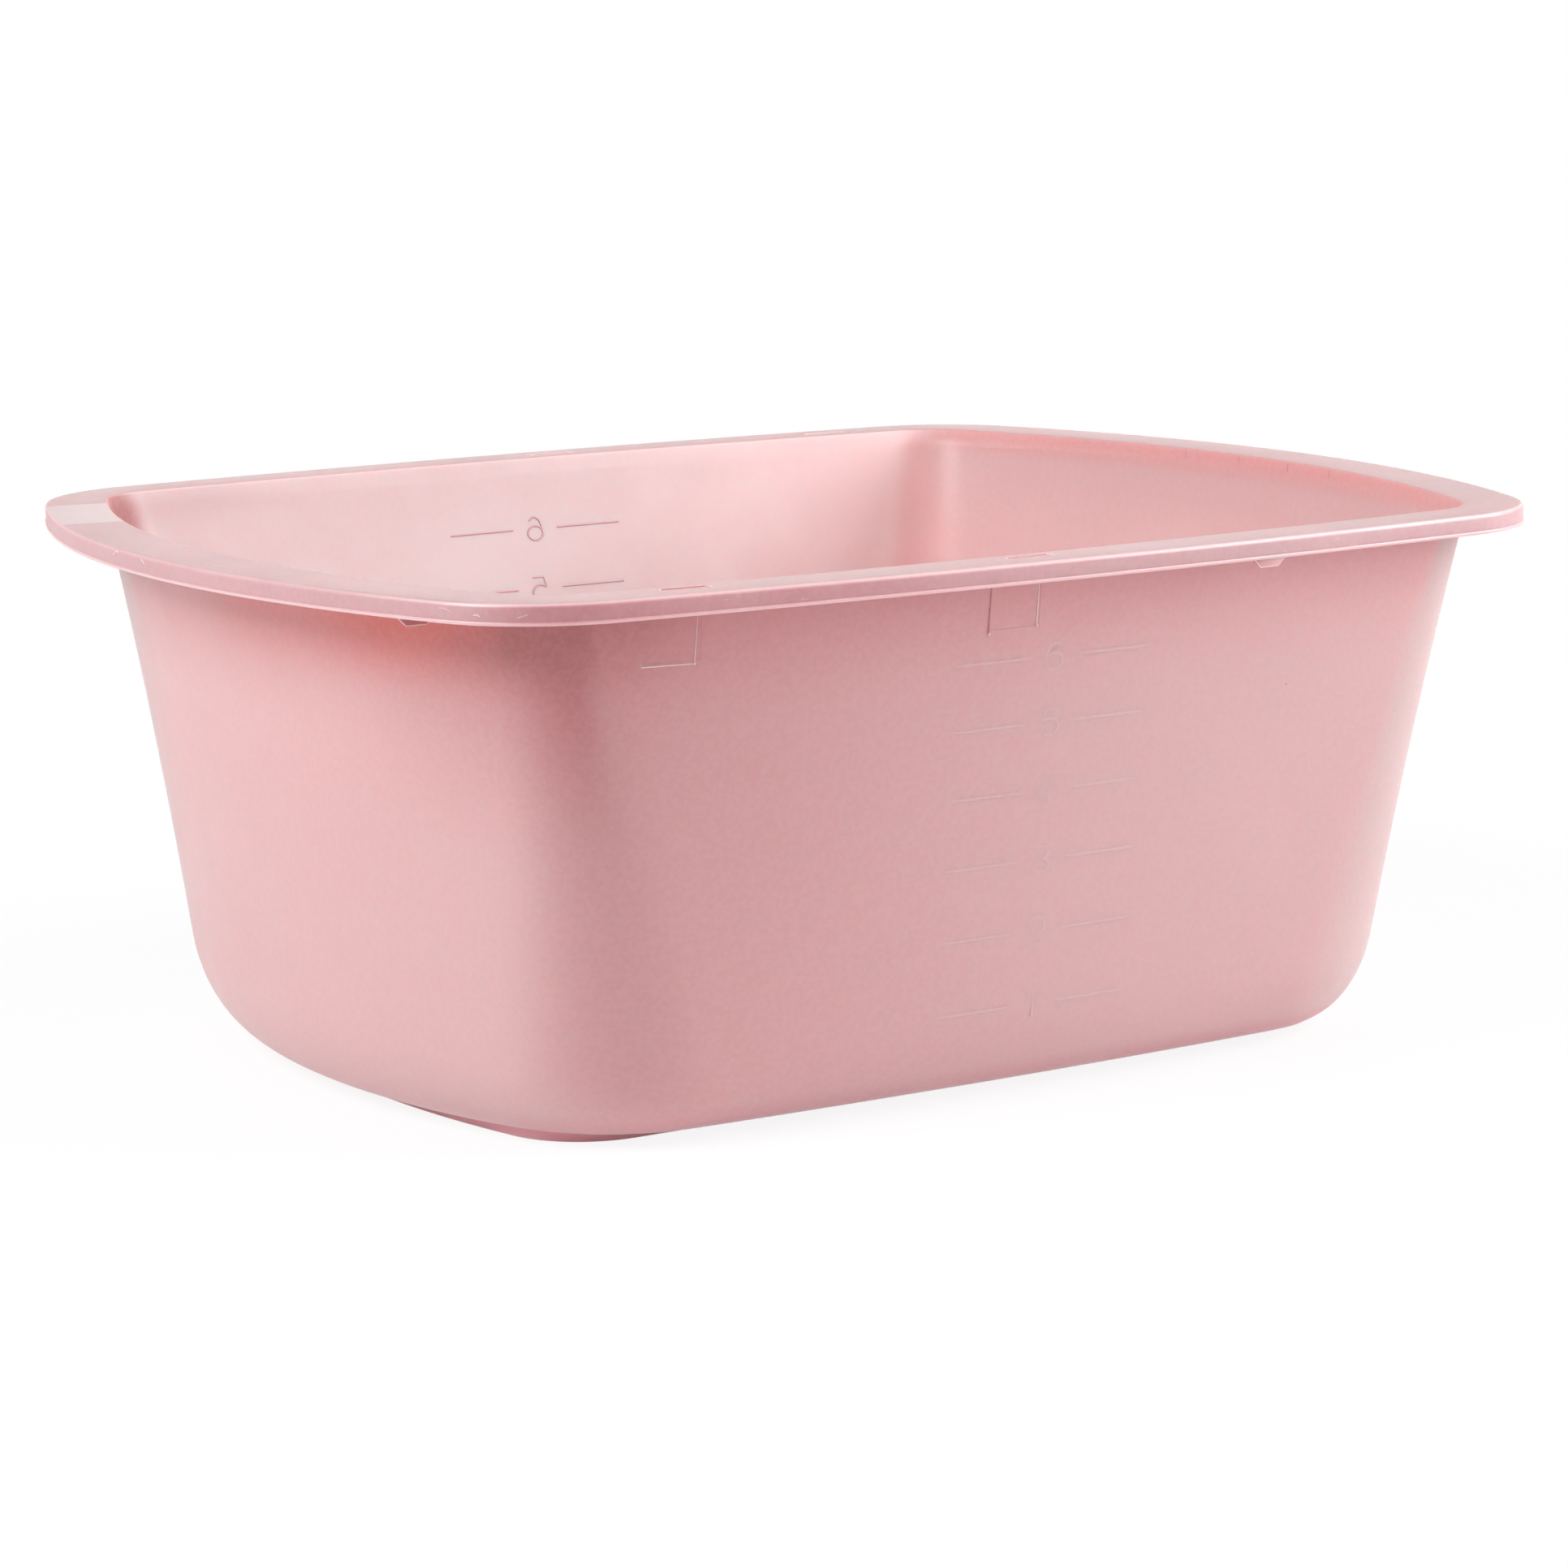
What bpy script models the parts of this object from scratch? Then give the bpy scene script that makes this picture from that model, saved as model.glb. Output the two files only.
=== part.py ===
"""Portable rectangular wash basin, one injection moulding with a lipped rim and a foot ring.

Metres, +Z up. The origin is under the middle of the basin, at the level that it stands on.
X runs along the basin, Y across it. The moulding is lofted through horizontal outlines, as
one quarter that is mirrored twice: up the inside, over the rim, and down the outside.
"""
import math
from dataclasses import dataclass

import bmesh
import bpy

# Rim: outline of the lip's outer face
RIM_LENGTH = 0.3261
RIM_WIDTH = 0.2724
RIM_CORNER_RADIUS = 0.0348
RIM_END_RADIUS = 0.3001
RIM_SIDE_RADIUS = 1.3930
RIM_HEIGHT = 0.1269
RIM_EDGE_RADIUS = 0.0013
LIP_HEIGHT = 0.0047
LIP_THICKNESS = 0.0012
BEAD_HEIGHT = 0.0008
BEAD_STAND_OUT = 0.0002

# Flange from the lip to the mouth of the basin
FLANGE_END_WIDTH = 0.0155
FLANGE_SIDE_WIDTH = 0.0131
FLANGE_THICKNESS = 0.0013
MOUTH_CORNER_RADIUS = 0.0177
MOUTH_END_RADIUS = 0.2887
MOUTH_EDGE_RADIUS = 0.0006
UNDER_FLANGE_FILLET = 0.0008

# Walls: outline at the level of the underside, before the heel rounds it off
BASE_LENGTH = 0.2695
BASE_WIDTH = 0.2166
BASE_CORNER_RADIUS = 0.0499
BASE_END_RADIUS = 0.1974
BASE_SIDE_RADIUS = 1.5615
WALL_THICKNESS = 0.0012
WALL_WAIST = 0.0006

# Heel: elliptical rounding from the walls to the floor
FLOOR_THICKNESS = 0.0014
HEEL_HEIGHT = 0.0193
HEEL_REACH = 0.0114
HEEL_CORNER_REACH = 0.0154
HEEL_SWEEP = math.radians(82)

# Foot ring under the floor
FOOT_LENGTH = 0.2390
FOOT_WIDTH = 0.1778
FOOT_CORNER_RADIUS = 0.0231
FOOT_END_RADIUS = 0.2668
FOOT_SIDE_RADIUS = 5.4100
FOOT_HEIGHT = 0.0025
FOOT_RING_WIDTH = 0.0030
FOOT_EDGE_RADIUS = 0.0004

# Stacking lugs: chamfered plates in the channel behind the lip, all of them along X
LUG_LENGTH = 0.0084
LUG_THICKNESS = 0.0012
LUG_DROP = 0.0018
LUG_SINK = 0.0006
SIDE_LUG_FROM_MIDDLE = 0.0508
END_LUG_FROM_MIDDLE = 0.0970

# Recesses left by the mould's inserts, in the flange and below it in the wall
INSERT_LENGTH = 0.0125
INSERT_PLACES = (0.0090, 0.0931)
SLOT_WIDTH = 0.0028
SLOT_CORNER_RADIUS = 0.0010
SLOT_FROM_MOUTH = 0.0050
SLOT_DEPTH = 0.0004
POCKET_BELOW_RIM = 0.0165
POCKET_DEPTH = 0.0003
OVERRUN = 0.0020

# Facets of a quarter outline and of the roundings
END_FACETS = 6
CORNER_FACETS = 9
SIDE_FACETS = 6
EDGE_FACETS = 3
BEAD_FACETS = 4
HEEL_FACETS = 7
WALL_FACETS = 6
SLOT_END_FACETS = 3
SHARP_ANGLE = math.radians(35)

PINK = (0.735, 0.385, 0.395, 1.0)
PINK_ROUGHNESS = 0.42


@dataclass(frozen=True)
class Outline:
    """Rounded rectangle with bowed ends and sides, symmetric about X and Y.

    The end arc is centred on the X axis, the side arc on the Y axis, and the corner arc
    is tangent to both.
    """

    half_length: float
    half_width: float
    corner_radius: float
    end_radius: float
    side_radius: float

    def grown(self, by, corner_by=None):
        """Outline offset outwards, or inwards for a negative distance."""
        return Outline(
            self.half_length + by,
            self.half_width + by,
            self.corner_radius + (by if corner_by is None else corner_by),
            self.end_radius + by,
            self.side_radius + by,
        )

    def toward(self, other, share):
        """Outline part of the way to another; the long arcs blend by their curvature."""
        return Outline(
            mixed(self.half_length, other.half_length, share),
            mixed(self.half_width, other.half_width, share),
            mixed(self.corner_radius, other.corner_radius, share),
            1 / mixed(1 / self.end_radius, 1 / other.end_radius, share),
            1 / mixed(1 / self.side_radius, 1 / other.side_radius, share),
        )

    def corner_centre(self):
        """Centre of the corner arc: where the two long arcs, less the corner radius, cross."""
        below = self.side_radius - self.half_width
        behind = self.end_radius - self.half_length
        side_reach = self.side_radius - self.corner_radius
        end_reach = self.end_radius - self.corner_radius
        apart = math.hypot(below, behind)
        along = (side_reach**2 - end_reach**2 + apart**2) / (2 * apart)
        across = math.sqrt(side_reach**2 - along**2)
        x = (across * below - along * behind) / apart
        y = (across * behind + along * below) / apart - below
        return x, y

    def quarter(self, z):
        """Points from the +X axis round the corner to the +Y axis, at height z."""
        corner_x, corner_y = self.corner_centre()
        end_x = self.half_length - self.end_radius
        side_y = self.half_width - self.side_radius
        end_angle = math.atan2(corner_y, corner_x - end_x)
        side_angle = math.atan2(corner_y - side_y, corner_x)
        top = math.pi / 2
        points = arc(end_x, 0, self.end_radius, 0, end_angle, END_FACETS)
        points += arc(corner_x, corner_y, self.corner_radius, end_angle, side_angle, CORNER_FACETS)[1:]
        points += arc(0, side_y, self.side_radius, side_angle, top, SIDE_FACETS)[1:]
        points[-1] = (0, self.half_width)
        return [(x, y, z) for x, y in points]

    def end_at(self, y):
        """X of the +X end at a distance from the middle."""
        return self.half_length - self.end_radius + math.sqrt(self.end_radius**2 - y**2)

    def side_at(self, x):
        """Y of the +Y side at a distance from the middle, and its slant there."""
        rise = math.sqrt(self.side_radius**2 - x**2)
        return self.half_width - self.side_radius + rise, -math.atan2(x, rise)


def mixed(start, end, share):
    return start + (end - start) * share


def arc(centre_x, centre_y, radius, start, end, facets):
    """Points of a circular arc, both ends included."""
    angles = [mixed(start, end, i / facets) for i in range(facets + 1)]
    return [(centre_x + radius * math.cos(a), centre_y + radius * math.sin(a)) for a in angles]


RIM = Outline(RIM_LENGTH / 2, RIM_WIDTH / 2, RIM_CORNER_RADIUS, RIM_END_RADIUS, RIM_SIDE_RADIUS)
MOUTH = Outline(
    RIM.half_length - FLANGE_END_WIDTH,
    RIM.half_width - FLANGE_SIDE_WIDTH,
    MOUTH_CORNER_RADIUS,
    MOUTH_END_RADIUS,
    RIM_SIDE_RADIUS - FLANGE_SIDE_WIDTH,
)
BASE = Outline(BASE_LENGTH / 2, BASE_WIDTH / 2, BASE_CORNER_RADIUS, BASE_END_RADIUS, BASE_SIDE_RADIUS)
FOOT = Outline(FOOT_LENGTH / 2, FOOT_WIDTH / 2, FOOT_CORNER_RADIUS, FOOT_END_RADIUS, FOOT_SIDE_RADIUS)

FLANGE_UNDERSIDE = RIM_HEIGHT - FLANGE_THICKNESS
LIP_BOTTOM = RIM_HEIGHT - LIP_HEIGHT
HEEL_TOP = FOOT_HEIGHT + HEEL_HEIGHT * math.sin(HEEL_SWEEP)
FLOOR_TOP = FOOT_HEIGHT + FLOOR_THICKNESS


def wall_outline(z):
    """Outer face of the drafted walls, which draw in slightly at mid height."""
    depth_share = (RIM_HEIGHT - z) / (RIM_HEIGHT - FOOT_HEIGHT)
    waist_share = 4 * depth_share * (1 - depth_share)
    return MOUTH.grown(WALL_THICKNESS).toward(BASE, depth_share).grown(-WALL_WAIST * waist_share)


def steps(facets):
    """Shares from 0 to 1."""
    return [i / facets for i in range(facets + 1)]


def inside_rings():
    """Floor, inner heel and inner wall, from the floor up to the mouth's edge."""
    rings = []
    heel_height = HEEL_TOP - FLOOR_TOP
    for share in steps(HEEL_FACETS):
        angle = (1 - share) * math.pi / 2
        z = HEEL_TOP - heel_height * math.sin(angle)
        drawn_in_share = 1 - math.cos(angle)
        inset = WALL_THICKNESS + (HEEL_REACH - WALL_THICKNESS) * drawn_in_share
        corner_inset = WALL_THICKNESS + (HEEL_CORNER_REACH - WALL_THICKNESS) * drawn_in_share
        rings.append(wall_outline(z).grown(-inset, -corner_inset).quarter(z))
    for share in steps(WALL_FACETS)[1:]:
        z = mixed(HEEL_TOP, RIM_HEIGHT - MOUTH_EDGE_RADIUS, share)
        rings.append(wall_outline(z).grown(-WALL_THICKNESS).quarter(z))
    return rings


def rim_rings():
    """Mouth's edge, flange, lip with its bead, and the underside of the flange."""
    rings = []
    for share in steps(EDGE_FACETS)[1:]:
        angle = share * math.pi / 2
        out = MOUTH_EDGE_RADIUS * (1 - math.cos(angle))
        z = RIM_HEIGHT - MOUTH_EDGE_RADIUS * (1 - math.sin(angle))
        rings.append(MOUTH.grown(out).quarter(z))
    for share in steps(EDGE_FACETS):
        angle = share * math.pi / 2
        inset = RIM_EDGE_RADIUS * (1 - math.sin(angle))
        z = RIM_HEIGHT - RIM_EDGE_RADIUS * (1 - math.cos(angle))
        rings.append(RIM.grown(-inset).quarter(z))
    for share in steps(BEAD_FACETS):
        angle = share * math.pi
        z = LIP_BOTTOM + BEAD_HEIGHT * (1 + math.cos(angle)) / 2
        rings.append(RIM.grown(BEAD_STAND_OUT * math.sin(angle)).quarter(z))
    rings.append(RIM.grown(-LIP_THICKNESS).quarter(LIP_BOTTOM))
    rings.append(RIM.grown(-LIP_THICKNESS).quarter(FLANGE_UNDERSIDE))
    for share in steps(EDGE_FACETS)[:-1]:
        angle = share * math.pi / 2
        z = FLANGE_UNDERSIDE - UNDER_FLANGE_FILLET * (1 - math.cos(angle))
        out = UNDER_FLANGE_FILLET * (1 - math.sin(angle))
        rings.append(wall_outline(z).grown(out).quarter(z))
    return rings


def outside_rings():
    """Outer wall, heel, and the foot ring round the sunk underside."""
    rings = []
    for share in steps(WALL_FACETS)[:-1]:
        z = mixed(FLANGE_UNDERSIDE - UNDER_FLANGE_FILLET, HEEL_TOP, share)
        rings.append(wall_outline(z).quarter(z))
    for share in steps(HEEL_FACETS):
        angle = share * HEEL_SWEEP
        z = HEEL_TOP - HEEL_HEIGHT * math.sin(angle)
        drawn_in_share = 1 - math.cos(angle)
        inset = HEEL_REACH * drawn_in_share
        corner_inset = HEEL_CORNER_REACH * drawn_in_share
        rings.append(wall_outline(z).grown(-inset, -corner_inset).quarter(z))
    rings.append(FOOT.quarter(FOOT_HEIGHT))
    for share in steps(EDGE_FACETS):
        angle = share * math.pi / 2
        z = FOOT_EDGE_RADIUS * (1 - math.sin(angle))
        rings.append(FOOT.grown(-FOOT_EDGE_RADIUS * (1 - math.cos(angle))).quarter(z))
    foot_inside = FOOT.grown(-FOOT_RING_WIDTH)
    for share in steps(EDGE_FACETS):
        angle = share * math.pi / 2
        z = FOOT_EDGE_RADIUS * (1 - math.cos(angle))
        rings.append(foot_inside.grown(FOOT_EDGE_RADIUS * (1 - math.sin(angle))).quarter(z))
    rings.append(foot_inside.quarter(FOOT_HEIGHT))
    return rings


def add_object(name, mesh, collection):
    obj = bpy.data.objects.new(name, mesh)
    collection.objects.link(obj)
    return obj


def lofted_quarter(name, rings, collection):
    """Strips of faces between the rings, and a cap out to the Z axis at both ends."""
    bm = bmesh.new()
    rows = [[bm.verts.new(point) for point in ring] for ring in rings]
    for row, following in zip(rows, rows[1:]):
        for i in range(len(row) - 1):
            bm.faces.new((row[i], following[i], following[i + 1], row[i + 1]))
    floor_middle = bm.verts.new((0, 0, rings[0][0][2]))
    bm.faces.new([floor_middle] + rows[0])
    underside_middle = bm.verts.new((0, 0, rings[-1][0][2]))
    bm.faces.new([underside_middle] + rows[-1][::-1])
    mesh = bpy.data.meshes.new(name)
    bm.to_mesh(mesh)
    bm.free()
    mesh.shade_smooth()
    mesh.set_sharp_from_angle(angle=SHARP_ANGLE)
    return add_object(name, mesh, collection)


def mirrored(obj):
    """Both mirrors of a quarter that is open at the X and Y planes."""
    modifier = obj.modifiers.new("Quarter to whole", "MIRROR")
    modifier.use_axis = (True, True, False)
    modifier.merge_threshold = 0.00001


def box(name, length, width, height, collection):
    """Cuboid centred on its own origin."""
    bm = bmesh.new()
    bmesh.ops.create_cube(bm, size=1)
    bmesh.ops.scale(bm, vec=(length, width, height), verts=bm.verts)
    mesh = bpy.data.meshes.new(name)
    bm.to_mesh(mesh)
    bm.free()
    obj = add_object(name, mesh, collection)
    obj.hide_render = True
    obj.display_type = "WIRE"
    return obj


def bevel_edges(obj, offset, segments, chosen):
    """Chamfer or round the edges that a test picks by their two ends."""
    bm = bmesh.new()
    bm.from_mesh(obj.data)
    edges = [edge for edge in bm.edges if chosen(edge.verts[0].co, edge.verts[1].co)]
    bmesh.ops.bevel(
        bm, geom=edges, offset=offset, segments=segments, profile=0.5, affect="EDGES", material=-1
    )
    bm.to_mesh(obj.data)
    bm.free()


def placed(obj, x, y, z, turn, slant=0, lean=0):
    """Set an object on the +X and +Y side, or turned half round the basin's middle."""
    reach = -1 if turn else 1
    obj.location = (reach * x, reach * y, z)
    obj.rotation_euler = (lean, 0, slant + turn)
    return obj


def stacking_lug(name, x, y, turn, collection):
    """Plate from inside the flange to below the lip, with its two lower corners cut off."""
    top = FLANGE_UNDERSIDE + LUG_SINK
    bottom = LIP_BOTTOM - LUG_DROP
    lug = box(name, LUG_LENGTH, LUG_THICKNESS, top - bottom, collection)
    bevel_edges(lug, LUG_DROP, 1, lambda a, b: a.z < 0 and b.z < 0 and a.x == b.x)
    return placed(lug, x, y, (top + bottom) / 2, turn)


def stacking_lugs(collection):
    lip_inside = RIM.grown(-LIP_THICKNESS)
    side_y = lip_inside.side_at(SIDE_LUG_FROM_MIDDLE)[0] + LUG_SINK - LUG_THICKNESS / 2
    end_x = lip_inside.end_at(END_LUG_FROM_MIDDLE) + LUG_SINK - LUG_LENGTH / 2
    lugs = []
    for turn, label in ((0, "back"), (math.pi, "front")):
        lugs.append(stacking_lug(f"side_lug_{label}", -SIDE_LUG_FROM_MIDDLE, side_y, turn, collection))
        lugs.append(stacking_lug(f"end_lug_{label}", end_x, END_LUG_FROM_MIDDLE, turn, collection))
    return lugs


def flange_slot(name, place, turn, collection):
    """Shallow slot with round corners in the top of the flange, along the mouth."""
    y, slant = MOUTH.grown(SLOT_FROM_MOUTH).side_at(place)
    slot = box(name, INSERT_LENGTH, SLOT_WIDTH, SLOT_DEPTH + OVERRUN, collection)
    bevel_edges(slot, SLOT_CORNER_RADIUS, SLOT_END_FACETS, lambda a, b: a.x == b.x and a.y == b.y)
    return placed(slot, place, y, RIM_HEIGHT + (OVERRUN - SLOT_DEPTH) / 2, turn, slant)


def wall_pocket(name, place, turn, collection):
    """Shallow recess in the outer wall below a slot, from under the flange to a ledge."""
    top = FLANGE_UNDERSIDE - UNDER_FLANGE_FILLET
    bottom = RIM_HEIGHT - POCKET_BELOW_RIM
    top_y, slant = wall_outline(top).side_at(place)
    bottom_y, _ = wall_outline(bottom).side_at(place)
    lean = -math.atan2(top_y - bottom_y, top - bottom)
    height = math.hypot(top_y - bottom_y, top - bottom)
    pocket = box(name, INSERT_LENGTH, POCKET_DEPTH + OVERRUN, height, collection)
    y = (top_y + bottom_y) / 2 + (OVERRUN - POCKET_DEPTH) / 2
    return placed(pocket, place, y, (top + bottom) / 2, turn, slant, lean)


def insert_recesses(collection):
    recesses = []
    for turn, label in ((0, "back"), (math.pi, "front")):
        for number, place in enumerate(INSERT_PLACES, 1):
            recesses.append(flange_slot(f"slot_{label}_{number}", place, turn, collection))
            recesses.append(wall_pocket(f"pocket_{label}_{number}", place, turn, collection))
    return recesses


def combine(obj, other, operation):
    modifier = obj.modifiers.new(other.name, "BOOLEAN")
    modifier.operation = operation
    modifier.solver = "EXACT"
    modifier.object = other


def pink_plastic():
    """Translucent dusty pink polypropylene with a satin skin."""
    material = bpy.data.materials.new("pink_polypropylene")
    material.use_nodes = True
    shader = material.node_tree.nodes["Principled BSDF"]
    shader.inputs["Base Color"].default_value = PINK
    shader.inputs["Roughness"].default_value = PINK_ROUGHNESS
    shader.inputs["Metallic"].default_value = 0
    material.diffuse_color = PINK
    return material


def new_collection(name):
    collection = bpy.data.collections.new(name)
    bpy.context.scene.collection.children.link(collection)
    return collection


def main():
    for obj in list(bpy.data.objects):
        bpy.data.objects.remove(obj)
    parts = new_collection("wash_basin")
    tools = new_collection("cutters")
    rings = inside_rings() + rim_rings() + outside_rings()
    basin = lofted_quarter("basin", rings, parts)
    basin.data.materials.append(pink_plastic())
    mirrored(basin)
    for lug in stacking_lugs(tools):
        combine(basin, lug, "UNION")
    for recess in insert_recesses(tools):
        combine(basin, recess, "DIFFERENCE")


main()
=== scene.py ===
import math
from dataclasses import dataclass
from functools import reduce

import bmesh
import bpy
from mathutils import Matrix, Vector


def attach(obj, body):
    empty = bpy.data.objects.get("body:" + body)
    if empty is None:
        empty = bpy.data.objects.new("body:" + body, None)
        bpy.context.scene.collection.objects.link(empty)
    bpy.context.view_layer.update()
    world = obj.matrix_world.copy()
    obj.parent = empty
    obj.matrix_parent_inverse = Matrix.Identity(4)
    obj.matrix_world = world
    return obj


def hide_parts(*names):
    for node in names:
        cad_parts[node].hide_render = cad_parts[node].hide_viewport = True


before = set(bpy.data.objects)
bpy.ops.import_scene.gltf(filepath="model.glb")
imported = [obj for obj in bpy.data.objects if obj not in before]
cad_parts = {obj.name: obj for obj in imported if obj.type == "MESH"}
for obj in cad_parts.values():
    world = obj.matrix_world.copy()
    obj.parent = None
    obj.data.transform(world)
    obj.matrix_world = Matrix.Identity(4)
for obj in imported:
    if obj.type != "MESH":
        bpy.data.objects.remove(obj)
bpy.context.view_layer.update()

# Rim: outline of the lip's outer face
RIM_LENGTH = 0.3261
RIM_WIDTH = 0.2724
RIM_CORNER_RADIUS = 0.0348
RIM_END_RADIUS = 0.3001
RIM_SIDE_RADIUS = 1.3930
RIM_HEIGHT = 0.1269
RIM_EDGE_RADIUS = 0.0011
LIP_HEIGHT = 0.0047
LIP_THICKNESS = 0.0012
LIP_BOTTOM_RADIUS = 0.0003
BEAD_HEIGHT = 0.0008
BEAD_STAND_OUT = 0.0002

# Flange from the lip to the mouth of the basin
FLANGE_END_WIDTH = 0.0155
FLANGE_SIDE_WIDTH = 0.0131
FLANGE_THICKNESS = 0.0013
MOUTH_CORNER_RADIUS = 0.0177
MOUTH_END_RADIUS = 0.2887
MOUTH_EDGE_RADIUS = 0.0006
UNDER_FLANGE_FILLET = 0.0008

# Walls and the heel that rounds them off into the floor
BASE_LENGTH = 0.2695
BASE_WIDTH = 0.2166
BASE_CORNER_RADIUS = 0.0499
BASE_END_RADIUS = 0.1974
BASE_SIDE_RADIUS = 1.5615
WALL_THICKNESS = 0.0012
WALL_WAIST = 0.0006
FLOOR_THICKNESS = 0.0014
HEEL_HEIGHT = 0.0193
HEEL_REACH = 0.0114
HEEL_CORNER_REACH = 0.0154
HEEL_SWEEP = math.radians(82)

# Foot ring
FOOT_LENGTH = 0.2390
FOOT_WIDTH = 0.1778
FOOT_CORNER_RADIUS = 0.0231
FOOT_END_RADIUS = 0.2668
FOOT_SIDE_RADIUS = 5.4100
FOOT_HEIGHT = 0.0025
FOOT_RING_WIDTH = 0.0030
FOOT_EDGE_RADIUS = 0.0004

# Stacking lugs in the channel behind the lip
LUG_LENGTH = 0.0084
LUG_THICKNESS = 0.0012
LUG_DROP = 0.0018
LUG_SINK = 0.0006
LUG_ROUNDING = 0.0002
LUG_ROUNDING_FACETS = 3
SIDE_LUG_FROM_MIDDLE = 0.0508
END_LUG_FROM_MIDDLE = 0.0970
LUG_EDGE_RADIUS = 0.00013

# Recesses left by the mould's inserts
INSERT_LENGTH = 0.0125
INSERT_PLACES = (0.0090, 0.0931)
SLOT_WIDTH = 0.0028
SLOT_CORNER_RADIUS = 0.0010
SLOT_CORNER_FACETS = 6
SLOT_FROM_MOUTH = 0.0050
POCKET_BELOW_RIM = 0.0165
OVERRUN = 0.0020
SLOT_DISH = 0.00022
POCKET_DISH = 0.00008
RIDGE_RADIUS = 0.00017
RIDGE_SUNK = 0.00006
NUB_RADIUS = 0.00032

# Painted reflection, a paler patch on the flange at the -X end: direction across it, where it starts and
# ends, and where in X
PATCH_DIRECTION = (0.18, 0.984, 0)
PATCH_START = (0.0345, 0.0352)
PATCH_END = (0.0744, 0.0736)
PATCH_AT_END = (-0.095, -0.110)

# Facets of a quarter outline and of the roundings
END_FACETS = 14
CORNER_FACETS = 20
SIDE_FACETS = 16
EDGE_FACETS = 5
BEAD_FACETS = 8
HEEL_FACETS = 16
WALL_FACETS = 26
LINE_FACETS = 6
TICK_FACETS = 3

# The front and the back of the basin are alike by a half turn
HALF_TURNS = (0, math.pi)

# Angle between faces, in degrees, from which an edge is shown sharp
MOULDING_SHARP = 30
LUG_SHARP = 50
RELIEF_SHARP = 70


@dataclass(frozen=True)
class Outline:
    """Rounded rectangle with bowed ends and sides; the corner arc is tangent to both."""

    half_length: float
    half_width: float
    corner_radius: float
    end_radius: float
    side_radius: float

    def grown(self, by, corner_by=None):
        return Outline(
            self.half_length + by,
            self.half_width + by,
            self.corner_radius + (by if corner_by is None else corner_by),
            self.end_radius + by,
            self.side_radius + by,
        )

    def toward(self, other, share):
        """Outline part of the way to another; the long arcs blend by their curvature."""
        return Outline(
            mixed(self.half_length, other.half_length, share),
            mixed(self.half_width, other.half_width, share),
            mixed(self.corner_radius, other.corner_radius, share),
            1 / mixed(1 / self.end_radius, 1 / other.end_radius, share),
            1 / mixed(1 / self.side_radius, 1 / other.side_radius, share),
        )

    def corner_centre(self):
        below = self.side_radius - self.half_width
        behind = self.end_radius - self.half_length
        side_reach = self.side_radius - self.corner_radius
        end_reach = self.end_radius - self.corner_radius
        apart = math.hypot(below, behind)
        along = (side_reach**2 - end_reach**2 + apart**2) / (2 * apart)
        across = math.sqrt(side_reach**2 - along**2)
        x = (across * below - along * behind) / apart
        y = (across * behind + along * below) / apart - below
        return x, y

    def quarter(self):
        """Points from the +X axis round the corner to the +Y axis."""
        corner_x, corner_y = self.corner_centre()
        end_x = self.half_length - self.end_radius
        side_y = self.half_width - self.side_radius
        end_angle = math.atan2(corner_y, corner_x - end_x)
        side_angle = math.atan2(corner_y - side_y, corner_x)
        points = arc(end_x, 0, self.end_radius, 0, end_angle, END_FACETS)
        points += arc(corner_x, corner_y, self.corner_radius, end_angle, side_angle, CORNER_FACETS)[1:]
        points += arc(0, side_y, self.side_radius, side_angle, math.pi / 2, SIDE_FACETS)[1:]
        points[-1] = (0, self.half_width)
        return points

    def loop(self, z):
        """The whole outline, from the +X axis round by +Y, at height z."""
        quarter = self.quarter()
        half = quarter + [(-x, y) for x, y in quarter[-2::-1]]
        return [(x, y, z) for x, y in half] + [(-x, -y, z) for x, y in half[1:-1]]

    def inset(self, x, y):
        """How far a point lies inside the outline."""
        x, y = abs(x), abs(y)
        corner_x, corner_y = self.corner_centre()
        end_x = self.half_length - self.end_radius
        side_y = self.half_width - self.side_radius
        at_end = self.end_radius - math.hypot(x - end_x, y)
        at_side = self.side_radius - math.hypot(x, y - side_y)
        end_angle = math.atan2(corner_y, corner_x - end_x)
        side_angle = math.atan2(corner_y - side_y, corner_x)
        if end_angle < math.atan2(y - corner_y, x - corner_x) < side_angle:
            return self.corner_radius - math.hypot(x - corner_x, y - corner_y)
        return min(at_end, at_side)

    def end_at(self, y):
        """X of the +X end at a distance from the middle."""
        return self.half_length - self.end_radius + math.sqrt(self.end_radius**2 - y**2)

    def side_at(self, x):
        """Y of the +Y side at a distance from the middle, and its slant there."""
        rise = math.sqrt(self.side_radius**2 - x**2)
        return self.half_width - self.side_radius + rise, -math.atan2(x, rise)


def mixed(start, end, share):
    return start + (end - start) * share


def steps(facets):
    return [i / facets for i in range(facets + 1)]


def angles(facets, sweep=math.pi / 2):
    """Angles that turn a rounding, from 0 to its sweep."""
    return [share * sweep for share in steps(facets)]


def arc(centre_x, centre_y, radius, start, end, facets):
    turns = [mixed(start, end, share) for share in steps(facets)]
    return [(centre_x + radius * math.cos(a), centre_y + radius * math.sin(a)) for a in turns]


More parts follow.
